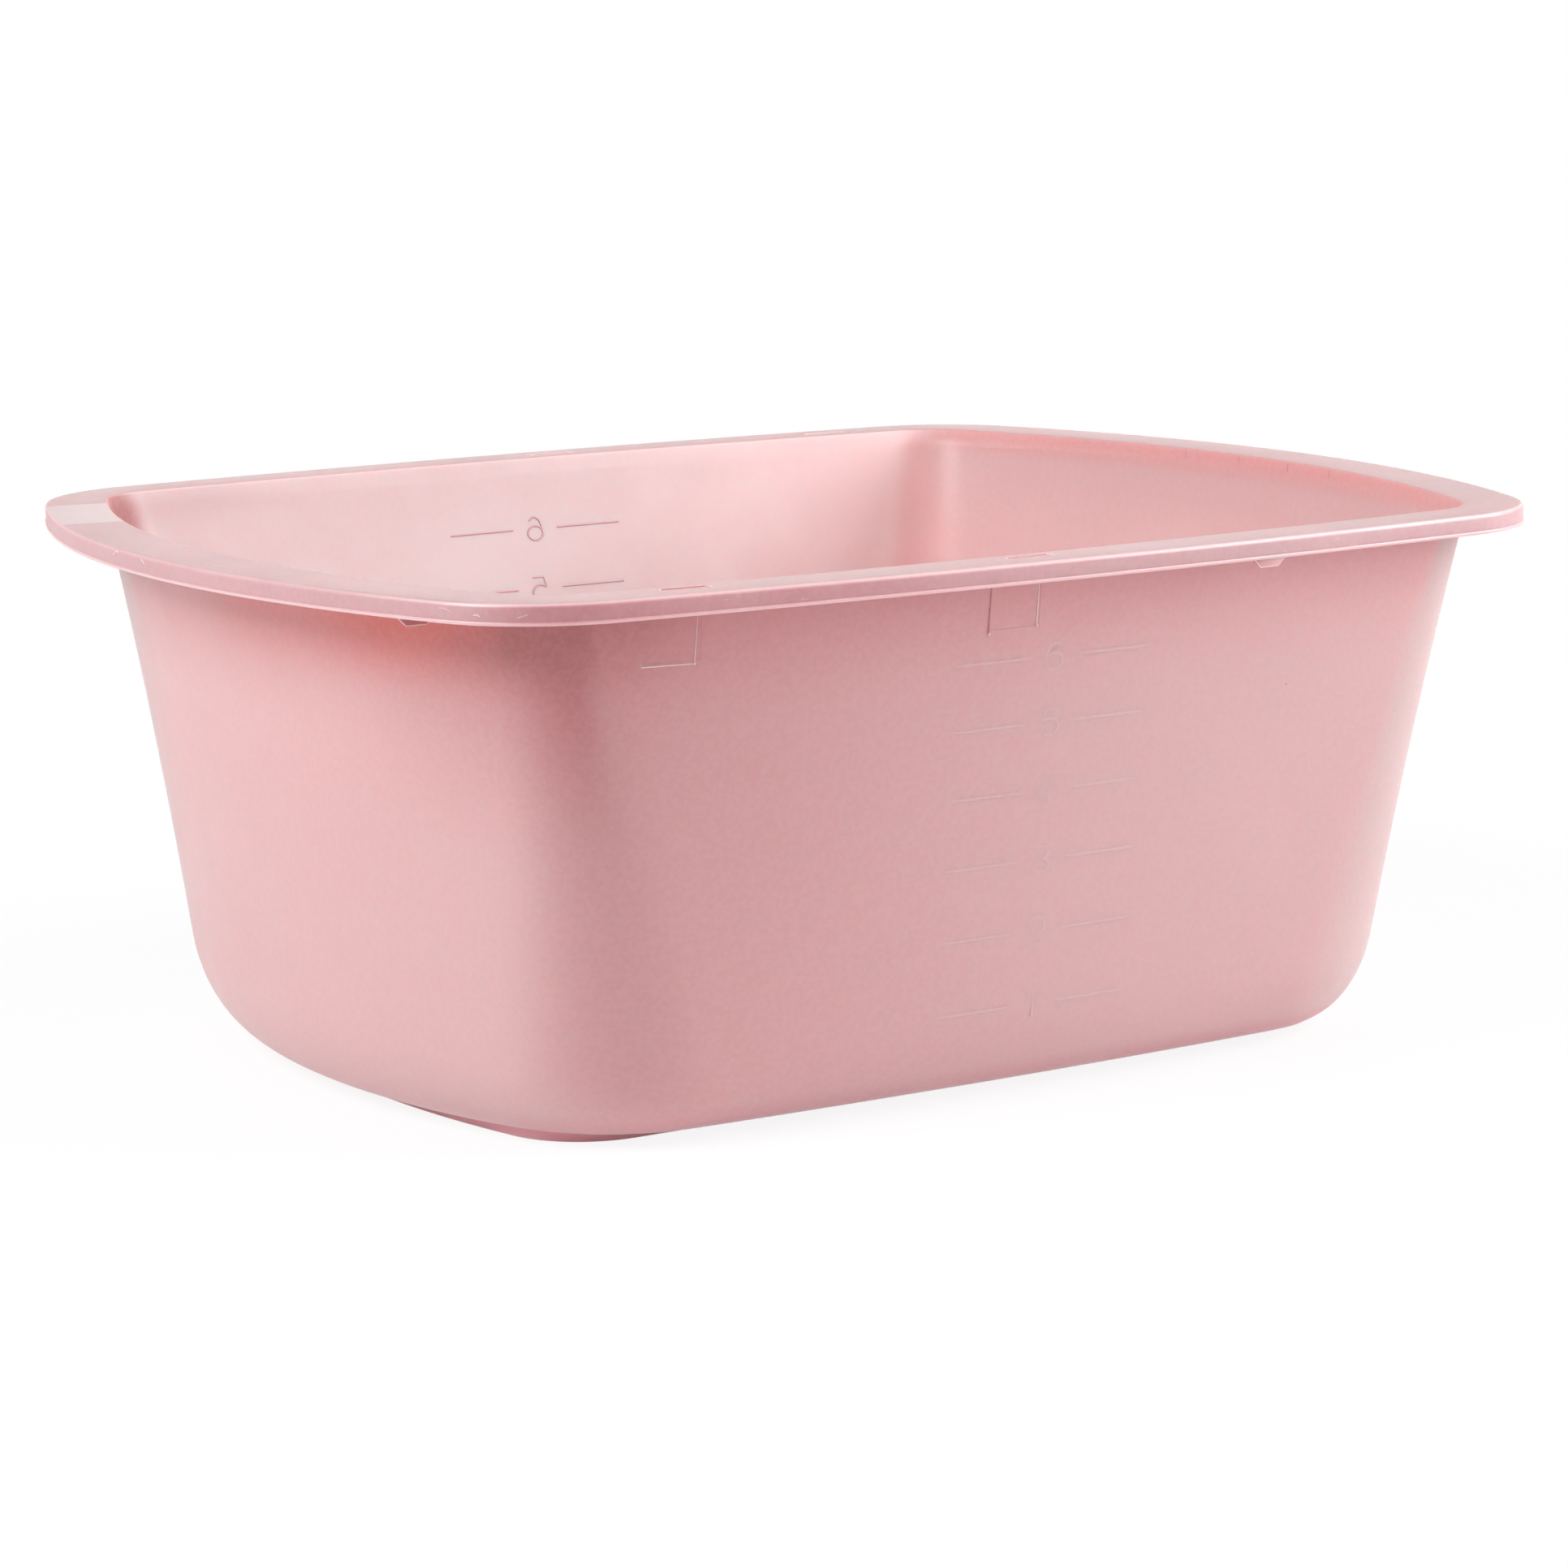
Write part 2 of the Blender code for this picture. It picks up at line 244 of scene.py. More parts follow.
RIM = Outline(RIM_LENGTH / 2, RIM_WIDTH / 2, RIM_CORNER_RADIUS, RIM_END_RADIUS, RIM_SIDE_RADIUS)
MOUTH = Outline(
    RIM.half_length - FLANGE_END_WIDTH,
    RIM.half_width - FLANGE_SIDE_WIDTH,
    MOUTH_CORNER_RADIUS,
    MOUTH_END_RADIUS,
    RIM_SIDE_RADIUS - FLANGE_SIDE_WIDTH,
)
BASE = Outline(BASE_LENGTH / 2, BASE_WIDTH / 2, BASE_CORNER_RADIUS, BASE_END_RADIUS, BASE_SIDE_RADIUS)
FOOT = Outline(FOOT_LENGTH / 2, FOOT_WIDTH / 2, FOOT_CORNER_RADIUS, FOOT_END_RADIUS, FOOT_SIDE_RADIUS)

FLANGE_UNDERSIDE = RIM_HEIGHT - FLANGE_THICKNESS
LIP_BOTTOM = RIM_HEIGHT - LIP_HEIGHT
HEEL_TOP = FOOT_HEIGHT + HEEL_HEIGHT * math.sin(HEEL_SWEEP)
FLOOR_TOP = FOOT_HEIGHT + FLOOR_THICKNESS


def wall_outline(z):
    """Outer face of the drafted walls, which draw in slightly at mid height."""
    depth_share = (RIM_HEIGHT - z) / (RIM_HEIGHT - FOOT_HEIGHT)
    waist_share = 4 * depth_share * (1 - depth_share)
    return MOUTH.grown(WALL_THICKNESS).toward(BASE, depth_share).grown(-WALL_WAIST * waist_share)


def inside_outlines():
    """Floor, inner heel and inner wall, as (outline, height) from the floor up."""
    found = []
    for angle in reversed(angles(HEEL_FACETS)):
        z = HEEL_TOP - (HEEL_TOP - FLOOR_TOP) * math.sin(angle)
        drawn_in_share = 1 - math.cos(angle)
        inset = mixed(WALL_THICKNESS, HEEL_REACH, drawn_in_share)
        corner_inset = mixed(WALL_THICKNESS, HEEL_CORNER_REACH, drawn_in_share)
        found.append((wall_outline(z).grown(-inset, -corner_inset), z))
    for share in steps(WALL_FACETS)[1:]:
        z = mixed(HEEL_TOP, RIM_HEIGHT - MOUTH_EDGE_RADIUS, share)
        found.append((wall_outline(z).grown(-WALL_THICKNESS), z))
    return found


def rim_outlines():
    """Mouth's edge, flange, lip with its bead, and the underside of the flange."""
    found = []
    for angle in angles(EDGE_FACETS)[1:]:
        z = RIM_HEIGHT - MOUTH_EDGE_RADIUS * (1 - math.sin(angle))
        found.append((MOUTH.grown(MOUTH_EDGE_RADIUS * (1 - math.cos(angle))), z))
    for angle in angles(EDGE_FACETS):
        z = RIM_HEIGHT - RIM_EDGE_RADIUS * (1 - math.cos(angle))
        found.append((RIM.grown(-RIM_EDGE_RADIUS * (1 - math.sin(angle))), z))
    for angle in angles(BEAD_FACETS, math.pi):
        z = LIP_BOTTOM + BEAD_HEIGHT * (1 + math.cos(angle)) / 2
        found.append((RIM.grown(BEAD_STAND_OUT * math.sin(angle)), z))
    for angle in angles(EDGE_FACETS):
        z = LIP_BOTTOM + LIP_BOTTOM_RADIUS * (1 - math.cos(angle))
        found.append((RIM.grown(LIP_BOTTOM_RADIUS * (1 - math.sin(angle)) - LIP_THICKNESS), z))
    found.append((RIM.grown(-LIP_THICKNESS), FLANGE_UNDERSIDE))
    for angle in angles(EDGE_FACETS)[:-1]:
        z = FLANGE_UNDERSIDE - UNDER_FLANGE_FILLET * (1 - math.cos(angle))
        found.append((wall_outline(z).grown(UNDER_FLANGE_FILLET * (1 - math.sin(angle))), z))
    return found


def outside_outlines():
    """Outer wall, heel, and the foot ring round the sunk underside."""
    found = []
    for share in steps(WALL_FACETS)[:-1]:
        z = mixed(FLANGE_UNDERSIDE - UNDER_FLANGE_FILLET, HEEL_TOP, share)
        found.append((wall_outline(z), z))
    for angle in angles(HEEL_FACETS, HEEL_SWEEP):
        z = HEEL_TOP - HEEL_HEIGHT * math.sin(angle)
        drawn_in_share = 1 - math.cos(angle)
        outline = wall_outline(z).grown(-HEEL_REACH * drawn_in_share, -HEEL_CORNER_REACH * drawn_in_share)
        found.append((outline, z))
    found.append((FOOT, FOOT_HEIGHT))
    for angle in angles(EDGE_FACETS):
        z = FOOT_EDGE_RADIUS * (1 - math.sin(angle))
        found.append((FOOT.grown(-FOOT_EDGE_RADIUS * (1 - math.cos(angle))), z))
    foot_inside = FOOT.grown(-FOOT_RING_WIDTH)
    for angle in angles(EDGE_FACETS):
        z = FOOT_EDGE_RADIUS * (1 - math.cos(angle))
        found.append((foot_inside.grown(FOOT_EDGE_RADIUS * (1 - math.sin(angle))), z))
    found.append((foot_inside, FOOT_HEIGHT))
    return found


def new_piece(name, mesh, material=None):
    """An object in the scene; with a material, its points also know how far inside the rim they lie."""
    piece = bpy.data.objects.new(name, mesh)
    bpy.context.scene.collection.objects.link(piece)
    if material is not None:
        mesh.materials.append(material)
        inset = mesh.attributes.new("rim_inset", "FLOAT", "POINT")
        inset.data.foreach_set("value", [RIM.inset(vert.co.x, vert.co.y) for vert in mesh.vertices])
    return piece


def mesh_from(bm, name):
    mesh = bpy.data.meshes.new(name)
    bm.to_mesh(mesh)
    bm.free()
    return mesh


def joined(meshes, name):
    """One mesh made of several, which are used up."""
    bm = bmesh.new()
    for mesh in meshes:
        bm.from_mesh(mesh)
        bpy.data.meshes.remove(mesh)
    return mesh_from(bm, name)


def smooth(mesh, sharp_degrees):
    """Smooth shading that breaks at edges sharper than an angle."""
    mesh.shade_smooth()
    mesh.set_sharp_from_angle(angle=math.radians(sharp_degrees))


def drawn_through(outlines, name):
    """Closed body: a floor disc whose rim is extruded from outline to outline, and capped."""
    bm = bmesh.new()
    count = len(outlines[0][0].loop(0))
    bmesh.ops.create_circle(bm, cap_ends=True, segments=count, radius=1)
    station = bm.verts.layers.int.new("station")
    bm.verts.ensure_lookup_table()
    first = outlines[0][0].loop(outlines[0][1])
    for number, vert in enumerate(bm.verts):
        vert[station] = number
        vert.co = first[number]
    edges = list(bm.edges)
    for outline, z in outlines[1:]:
        places = outline.loop(z)
        extruded = bmesh.ops.extrude_edge_only(bm, edges=edges)["geom"]
        edges = [item for item in extruded if isinstance(item, bmesh.types.BMEdge)]
        for item in extruded:
            if isinstance(item, bmesh.types.BMVert):
                item.co = places[item[station]]
    bmesh.ops.contextual_create(bm, geom=edges)
    bmesh.ops.recalc_face_normals(bm, faces=bm.faces)
    bm.verts.layers.int.remove(station)
    return mesh_from(bm, name)


def box_mesh(name, length, width, height):
    bm = bmesh.new()
    bmesh.ops.create_cube(bm, size=1)
    bmesh.ops.scale(bm, vec=(length, width, height), verts=bm.verts)
    return mesh_from(bm, name)


def bevel_edges(mesh, offset, segments, chosen):
    bm = bmesh.new()
    bm.from_mesh(mesh)
    edges = [edge for edge in bm.edges if chosen(edge.verts[0].co, edge.verts[1].co)]
    bmesh.ops.bevel(
        bm, geom=edges, offset=offset, segments=segments, profile=0.5, affect="EDGES", material=-1
    )
    bm.to_mesh(mesh)
    bm.free()


def set_at(mesh, x, y, z, turn, slant=0, lean=0):
    """Put a mesh on the +X and +Y side, or turned half round the basin's middle."""
    reach = -1 if turn else 1
    place = Matrix.Translation((reach * x, reach * y, z))
    turned = Matrix.Rotation(slant + turn, 4, "Z") @ Matrix.Rotation(lean, 4, "X")
    mesh.transform(place @ turned)
    return mesh


def flange_slot(place, turn):
    y, slant = MOUTH.grown(SLOT_FROM_MOUTH).side_at(place)
    slot = box_mesh("slot", INSERT_LENGTH, SLOT_WIDTH, SLOT_DISH + OVERRUN)
    bevel_edges(slot, SLOT_CORNER_RADIUS, SLOT_CORNER_FACETS, lambda a, b: a.x == b.x and a.y == b.y)
    return set_at(slot, place, y, RIM_HEIGHT + (OVERRUN - SLOT_DISH) / 2, turn, slant)


def wall_pocket(place, turn):
    top = FLANGE_UNDERSIDE - UNDER_FLANGE_FILLET
    bottom = RIM_HEIGHT - POCKET_BELOW_RIM
    top_y, slant = wall_outline(top).side_at(place)
    bottom_y, _ = wall_outline(bottom).side_at(place)
    lean = -math.atan2(top_y - bottom_y, top - bottom)
    height = math.hypot(top_y - bottom_y, top - bottom)
    pocket = box_mesh("pocket", INSERT_LENGTH, POCKET_DISH + OVERRUN, height)
    y = (top_y + bottom_y) / 2 + (OVERRUN - POCKET_DISH) / 2
    return set_at(pocket, place, y, (top + bottom) / 2, turn, slant, lean)


def finished_mesh(piece):
    """The piece's mesh with its modifiers applied."""
    depsgraph = bpy.context.evaluated_depsgraph_get()
    return bpy.data.meshes.new_from_object(piece.evaluated_get(depsgraph))


def moulding(material):
    """The whole basin but its lugs: one closed body with the inserts' recesses cut into it."""
    outlines = inside_outlines() + rim_outlines() + outside_outlines()
    blank = new_piece("blank", drawn_through(outlines, "basin_moulding"))
    cutters = []
    for turn in HALF_TURNS:
        for place in INSERT_PLACES:
            cutters.append(new_piece("slot", flange_slot(place, turn)))
            cutters.append(new_piece("pocket", wall_pocket(place, turn)))
    for cutter in cutters:
        modifier = blank.modifiers.new(cutter.name, "BOOLEAN")
        modifier.operation = "DIFFERENCE"
        modifier.solver = "EXACT"
        modifier.object = cutter
    mesh = finished_mesh(blank)
    smooth(mesh, MOULDING_SHARP)
    for extra in cutters + [blank]:
        bpy.data.objects.remove(extra)
    return new_piece("basin_moulding", mesh, material)


def stacking_lugs(material):
    """Four chamfered plates that hang just below the lip."""
    top = FLANGE_UNDERSIDE + LUG_SINK
    bottom = LIP_BOTTOM - LUG_DROP
    lip_inside = RIM.grown(-LIP_THICKNESS)
    side_y = lip_inside.side_at(SIDE_LUG_FROM_MIDDLE)[0] + LUG_SINK - LUG_THICKNESS / 2
    end_x = lip_inside.end_at(END_LUG_FROM_MIDDLE) + LUG_SINK - LUG_LENGTH / 2
    lugs = []
    for turn in HALF_TURNS:
        for x, y in ((-SIDE_LUG_FROM_MIDDLE, side_y), (end_x, END_LUG_FROM_MIDDLE)):
            lug = box_mesh("lug", LUG_LENGTH, LUG_THICKNESS, top - bottom)
            bevel_edges(lug, LUG_DROP, 1, lambda a, b: a.z < 0 and b.z < 0 and a.x == b.x)
            bevel_edges(lug, LUG_ROUNDING, LUG_ROUNDING_FACETS, lambda a, b: True)
            lugs.append(set_at(lug, x, y, (top + bottom) / 2, turn))
    mesh = joined(lugs, "stacking_lugs")
    smooth(mesh, LUG_SHARP)
    return new_piece("stacking_lugs", mesh, material)


# Sockets of the mix node that serve colours
MIX_SHARE = 0
MIX_FIRST = 6
MIX_SECOND = 7
MIX_RESULT = 2


class Nodes:
    """Short hand for building a node tree, where a share is a value or socket from 0 to 1."""

    def __init__(self, tree):
        self.tree = tree

    def add(self, kind, inputs=None, **settings):
        node = self.tree.nodes.new(kind)
        for key, value in settings.items():
            setattr(node, key, value)
        for key, value in (inputs or {}).items():
            self.feed(node.inputs[key], value)
        return node

    def feed(self, socket, value):
        if isinstance(value, bpy.types.NodeSocket):
            self.tree.links.new(value, socket)
        else:
            socket.default_value = value

    def ramp(self, value, low, high, to_low=0.0, to_high=1.0):
        return self.add(
            "ShaderNodeMapRange",
            {"Value": value, "From Min": low, "From Max": high, "To Min": to_low, "To Max": to_high},
            interpolation_type="SMOOTHSTEP",
        ).outputs["Result"]

    def math(self, operation, first, second=0.0):
        return self.add("ShaderNodeMath", {0: first, 1: second}, operation=operation).outputs[0]

    def times(self, *values):
        return reduce(lambda first, second: self.math("MULTIPLY", first, second), values)

    def most(self, *values):
        return reduce(lambda first, second: self.math("MAXIMUM", first, second), values)

    def seen(self):
        """1 where the camera sees it, also mirrored or through plastic; 0 where it only gives light."""
        path = self.add("ShaderNodeLightPath").outputs
        return self.most(path["Is Camera Ray"], path["Is Glossy Ray"], path["Is Transmission Ray"])


class Surface(Nodes):
    """A material with its shader and the places of its points."""

    def __init__(self, name):
        self.material = bpy.data.materials.new(name)
        self.material.use_nodes = True
        super().__init__(self.material.node_tree)
        self.shader = self.tree.nodes["Principled BSDF"]
        self.object_place = self.add("ShaderNodeTexCoord").outputs["Object"]

    def noise(self, scale, detail, roughness, stretch=(1, 1, 1)):
        mapping = self.add("ShaderNodeMapping", {"Vector": self.object_place, "Scale": stretch})
        noise = self.add(
            "ShaderNodeTexNoise",
            {
                "Vector": mapping.outputs["Vector"],
                "Scale": scale,
                "Detail": detail,
                "Roughness": roughness,
            },
        )
        return noise.outputs["Fac"]

    def blend(self, share, first, second):
        node = self.add("ShaderNodeMix", data_type="RGBA", blend_type="MIX")
        self.feed(node.inputs[MIX_SHARE], share)
        self.feed(node.inputs[MIX_FIRST], first)
        self.feed(node.inputs[MIX_SECOND], second)
        return node.outputs[MIX_RESULT]


# The plastic's colours, linear red, green, blue and opacity: outside
# Base: pink paled all over, partly as haze and partly as painted sheen, and clouded a little deeper at random
HAZE_AND_SHEEN_PINK = (0.590, 0.375, 0.380, 1)
CLOUDED_PINK = (0.555, 0.335, 0.345, 1)
# Painted shade under the rim, tinted warm as painted light through the plastic
RIM_SHADE_PINK = (0.660, 0.300, 0.320, 1)
# Painted shade toward two corners, and under the rim: warm on the short wall and dark round the corner
CORNER_SHADE_PINK = (0.466, 0.154, 0.172, 1)
WARM_SHADE = (0.610, 0.150, 0.122, 1)
DARK_SHADE = (0.395, 0.102, 0.108, 1)
# Painted sheen at the other two corners
CORNER_SHEEN_PINK = (0.490, 0.362, 0.358, 1)
# Painted shade at the heel, and painted light on the foot ring
HEEL_SHADE_PINK = (0.560, 0.240, 0.270, 1)
FOOT_LIGHT_PINK = (0.850, 0.400, 0.450, 1)

# Inside
# Paler inside, partly hazed and partly painted sheen
INSIDE_HAZE_AND_SHEEN = (0.695, 0.595, 0.597, 1)
# Painted light on the long walls toward two corners, inside
LONG_WALL_LIGHT = (0.940, 0.735, 0.735, 1)
# Painted shade in the inner corners, and painted light by a long wall at two of them
INNER_CORNER_SHADE = (0.600, 0.320, 0.322, 1)
INNER_CORNER_LIGHT = (0.770, 0.440, 0.442, 1)
END_MOUTH_PINK = (0.620, 0.265, 0.258, 1)
# Painted shade in the far inner corner at the -X end
TUCKED_CORNER_SHADE = (0.365, 0.135, 0.135, 1)

# On the rim, and wear, painted highlights and a painted reflection that look the same on every piece
HAZY_LIP = (0.508, 0.296, 0.316, 1)
# Painted shade on the lip toward two corners
SHADED_LIP = (0.478, 0.202, 0.226, 1)
# Flange top: greyed as dust, and darkened as painted shade for the light it takes from above
DUSTY_SHADED_FLANGE = (0.397, 0.258, 0.260, 1)
# Painted reflection on the flange at one corner
PATCH_REFLECTION = (0.56, 0.51, 0.50, 1)
# Painted highlight on the lip's bead and top edge
EDGE_HIGHLIGHT = (0.78, 0.62, 0.63, 1)
SCRATCHED = (0.86, 0.66, 0.65, 1)
SPECKLED = (0.85, 0.70, 0.70, 1)
# Painted highlights on trim pieces, and the pale of scuffs
PALE = (0.84, 0.66, 0.66, 1)

# Uneven patterns over the plastic, as noise
CLOUDS = {"scale": 9.0, "detail": 4.0, "roughness": 0.55}
MOTTLE = {"scale": 14.0, "detail": 5.0, "roughness": 0.65}
DUST = {"scale": 45.0, "detail": 5.0, "roughness": 0.6}
SCRATCHES = {"scale": 180.0, "detail": 3.0, "roughness": 0.7, "stretch": (1, 14, 3)}
SPECKS = {"scale": 700.0, "detail": 2.0, "roughness": 0.6}
POLISH = {"scale": 30.0, "detail": 3.0, "roughness": 0.5}
GRAIN = {"scale": 2600.0, "detail": 2.0, "roughness": 0.6}
RIPPLE = {"scale": 28.0, "detail": 1.0, "roughness": 0.4}

# Brings X and Y to about 1 at the rim, to tell whether a face looks away from the middle
PER_HALF_LENGTH = 6.0
PER_HALF_WIDTH = 8.0

# Ranges of facts that several zones share, from where a zone starts to where it is full
ON_LONG_WALL = (0.45, 0.90)
END_TO_LONG_WALL = (0.2, 0.9)
IN_CORNER = (0.15, 0.42)

# How much of a layer is laid on where it is full
# Share of painted shade on the long walls toward two corners
SHADED_SIDE_SHARE = 0.46
BESIDE_CORNER_SHARE = 0.55
PATCH_REFLECTION_SHARE = 0.5

# Roughness of the plastic, and what dust, the highlighted edges and dull corners change in it
ROUGHNESS = (0.36, 0.46)
FLANGE_ROUGHER = 0.14
HIGHLIGHT_SMOOTHER = 0.08
DULL_ROUGHER = 0.45

# Relief of the surface: fine grain and a slow ripple
GRAIN_SHARE = 0.012
RIPPLE_SHARE = 0.10
RELIEF_DEPTH = 0.001
RELIEF_STRENGTH = 0.5

EVEN_FINISH = {
    "Metallic": 0,
    "IOR": 1.55,
    "Specular IOR Level": 0.8,
    "Subsurface Radius": (1.0, 0.42, 0.38),
    "Subsurface Scale": 0.0026,
}


class Plastic(Surface):
    """The basin's plastic, painted in layers that follow where a point lies and how its face is turned.

    The facts a zone is made of: the point's x and height; its quadrant, X times Y, which is above 0 at
    the -X -Y corner and the one across from it and below 0 at the other two; how far it lies inside the
    rim's outline; and how far its face looks up, looks out of a long wall and is turned round a corner.
    """

    def __init__(self, name, tint):
        super().__init__(name)
        self.tint = tint
        place = self.add("ShaderNodeSeparateXYZ", {"Vector": self.object_place}).outputs
        normal = self.add("ShaderNodeNewGeometry").outputs["Normal"]
        facing = self.add("ShaderNodeSeparateXYZ", {"Vector": normal}).outputs
        self.facts = {
            "x": place["X"],
            "height": place["Z"],
            "quadrant": self.times(place["X"], place["Y"]),
            "inset": self.add("ShaderNodeAttribute", attribute_name="rim_inset").outputs["Fac"],
            "up": facing["Z"],
            "across": self.math("ABSOLUTE", facing["Y"]),
            "turn": self.math("ABSOLUTE", self.times(facing["X"], facing["Y"])),
        }
        away_x = self.times(facing["X"], self.times(place["X"], PER_HALF_LENGTH))
        away_y = self.times(facing["Y"], self.times(place["Y"], PER_HALF_WIDTH))
        looks_in = self.ramp(self.math("ADD", away_x, away_y), 0.0, -0.25)
        self.inside = self.most(looks_in, self.zone(up=(0.4, 0.8), height=(0.120, 0.110)))
        self.outside = self.rest_of(self.inside)
        self.on_lip = self.zone(inset=(0.0017, 0.0012), height=(0.1214, 0.1220))
        self.on_flange = self.zone(height=(RIM_HEIGHT - 0.0009, RIM_HEIGHT - 0.0003), up=(0.55, 0.98))
        self.outer_wall = self.times(self.outside, self.rest_of(self.on_lip))
        # The long walls toward the -X -Y corner and the one across from it, which take painted shade, and
        # those two corners
        self.shaded_side = self.zone(across=ON_LONG_WALL, quadrant=(-0.006, 0.014))
        self.near_and_far_corners = self.zone(quadrant=(-0.001, 0.004))
        # Base colour, paled partly as haze and partly as painted sheen
        clouds = self.ramp(self.noise(**CLOUDS), 0.35, 0.65, 0.1, 0.4)
        self.colour = self.blend(clouds, self.tinted(HAZE_AND_SHEEN_PINK), self.tinted(CLOUDED_PINK))

    def tinted(self, colour):
        return (*(channel * share for channel, share in zip(colour, self.tint)), 1)

    def rest_of(self, share):
        return self.math("SUBTRACT", 1.0, share)

    def zone(self, **ranges):
        """Share made of a ramp over each named fact, given as its start and end, and the shares there."""
        return self.times(*(self.ramp(self.facts[fact], *ends) for fact, ends in ranges.items()))

    def paint(self, share, colour):
        """Lay a colour over what is there."""
        self.colour = self.blend(share, self.colour, colour)


def paint_outer_wall(plastic):
    """Deeper in colour as painted shade toward two corners and under the rim, and again at the heel; paler as
    painted sheen at the other two corners, and lighter as painted light on the foot ring.
    """
    wall = plastic.outer_wall
    # Painted shade under the rim, warm as painted light through the plastic
    rim_shade = plastic.zone(height=(0.092, 0.122, 0.0, 0.6))
    plastic.paint(plastic.times(wall, rim_shade), plastic.tinted(RIM_SHADE_PINK))

    # Painted shade toward the -X -Y corner and the one across from it: on the long walls, round the corners
    # and beside them
    beside_corner = plastic.zone(quadrant=(0.0096, 0.0130), across=ON_LONG_WALL)
    high_beside = plastic.times(beside_corner, plastic.zone(height=(0.050, 0.112, 0.0, 0.20)))
    corner = plastic.zone(turn=(*IN_CORNER, 0.0, 0.60), height=(0.060, 0.112))
    corner = plastic.times(corner, plastic.near_and_far_corners)
    shaded_side = plastic.times(plastic.shaded_side, SHADED_SIDE_SHARE)
    deep = plastic.math("MINIMUM", plastic.math("ADD", shaded_side, plastic.most(corner, high_beside)), 1.0)
    plastic.paint(plastic.times(deep, wall), plastic.tinted(CORNER_SHADE_PINK))

    # Painted shade under the rim: warm on the short wall, as painted light through the plastic, and dark
    # round the corner
    round_corner = plastic.most(
        plastic.zone(turn=(0.05, 0.27)),
        plastic.zone(across=(0.5, 0.2, 0.0, 0.4)),
        plastic.times(beside_corner, BESIDE_CORNER_SHARE),
    )
    under_rim = plastic.times(plastic.zone(height=(0.100, 0.121)), round_corner, plastic.near_and_far_corners, wall)
    past_short_wall = plastic.zone(across=(0.27, 0.42))
    shade = plastic.blend(past_short_wall, plastic.tinted(WARM_SHADE), plastic.tinted(DARK_SHADE))
    plastic.paint(under_rim, shade)

    # At the other two corners, painted sheen: a paler, greyer pink
    corner_sheen = plastic.zone(turn=(0.06, 0.30), quadrant=(-0.005, -0.012, 0.0, 0.85))
    plastic.paint(plastic.times(corner_sheen, wall), plastic.tinted(CORNER_SHEEN_PINK))

    # Painted shade at the heel where it meets the table, and painted light on the foot ring in its shadow
    heel = plastic.zone(height=(0.0095, 0.0030), across=(0.2, 0.7, 0.4, 1.0))
    plastic.paint(plastic.times(heel, plastic.outside), plastic.tinted(HEEL_SHADE_PINK))
    plastic.paint(plastic.zone(height=(0.0029, 0.0024)), plastic.tinted(FOOT_LIGHT_PINK))


def paint_inside(plastic, haze_and_sheen_share):
    """Mottled paler tone inside, partly hazed and partly painted sheen, thinner at the ends and in two
    corners, with painted light and shade by the corners. Gives the share that is dull.
    """
    inside = plastic.inside
    mottle = plastic.ramp(plastic.noise(**MOTTLE), 0.3, 0.7, 0.70, 1.0)
    near_mouth = plastic.zone(across=(*END_TO_LONG_WALL, 0.12, 0.80))
    mottle = plastic.times(mottle, plastic.zone(height=(0.095, 0.124, 1.0, near_mouth)))
    at_ends = plastic.zone(quadrant=(-0.006, -0.0105, 0.45, 0.12))
    # Paler mottled tone inside, partly hazed and partly painted sheen
    haze_and_sheen_mask = plastic.times(inside, plastic.zone(across=(*END_TO_LONG_WALL, at_ends, 1.0)), mottle)

    # Painted light on the long walls toward two corners
    lit_long_wall = plastic.zone(across=(0.70, 0.90), quadrant=(0.000, 0.014))
    inside_layer_colour = plastic.blend(lit_long_wall, plastic.tinted(INSIDE_HAZE_AND_SHEEN), plastic.tinted(LONG_WALL_LIGHT))
    # Painted shade in the inner corners, and painted light by the long walls at the -X -Y corner and the one
    # across from it
    by_long_wall = plastic.times(plastic.near_and_far_corners, plastic.zone(across=(0.35, 0.80)))
    inner_corner_light_and_shade = plastic.blend(
        by_long_wall, plastic.tinted(INNER_CORNER_SHADE), plastic.tinted(INNER_CORNER_LIGHT)
    )
    inside_layer_colour = plastic.blend(plastic.zone(turn=(*IN_CORNER, 0.0, 0.9)), inside_layer_colour, inner_corner_light_and_shade)
    plastic.paint(plastic.times(haze_and_sheen_mask, haze_and_sheen_share), inside_layer_colour)

    end_mouth = plastic.zone(across=(0.85, 0.35), height=(0.1185, 0.1258, 0.0, 0.8))
    plastic.paint(plastic.times(end_mouth, inside), plastic.tinted(END_MOUTH_PINK))

    # Painted shade in the far inner corner at the -X end
    tucked = plastic.zone(turn=(0.20, 0.46, 0.0, 0.95), quadrant=(-0.004, -0.010), x=(0.05, -0.05, 0.15, 1.0))
    tucked = plastic.times(tucked, inside)
    plastic.paint(tucked, plastic.tinted(TUCKED_CORNER_SHADE))

    dull_corner = plastic.zone(quadrant=(-0.005, -0.0115), height=(0.113, 0.124, 0.0, 0.8))
    dull_mouth = plastic.zone(height=(0.1222, 0.1250, 0.0, 0.6))
    return plastic.most(plastic.times(plastic.most(dull_corner, dull_mouth), inside), tucked)


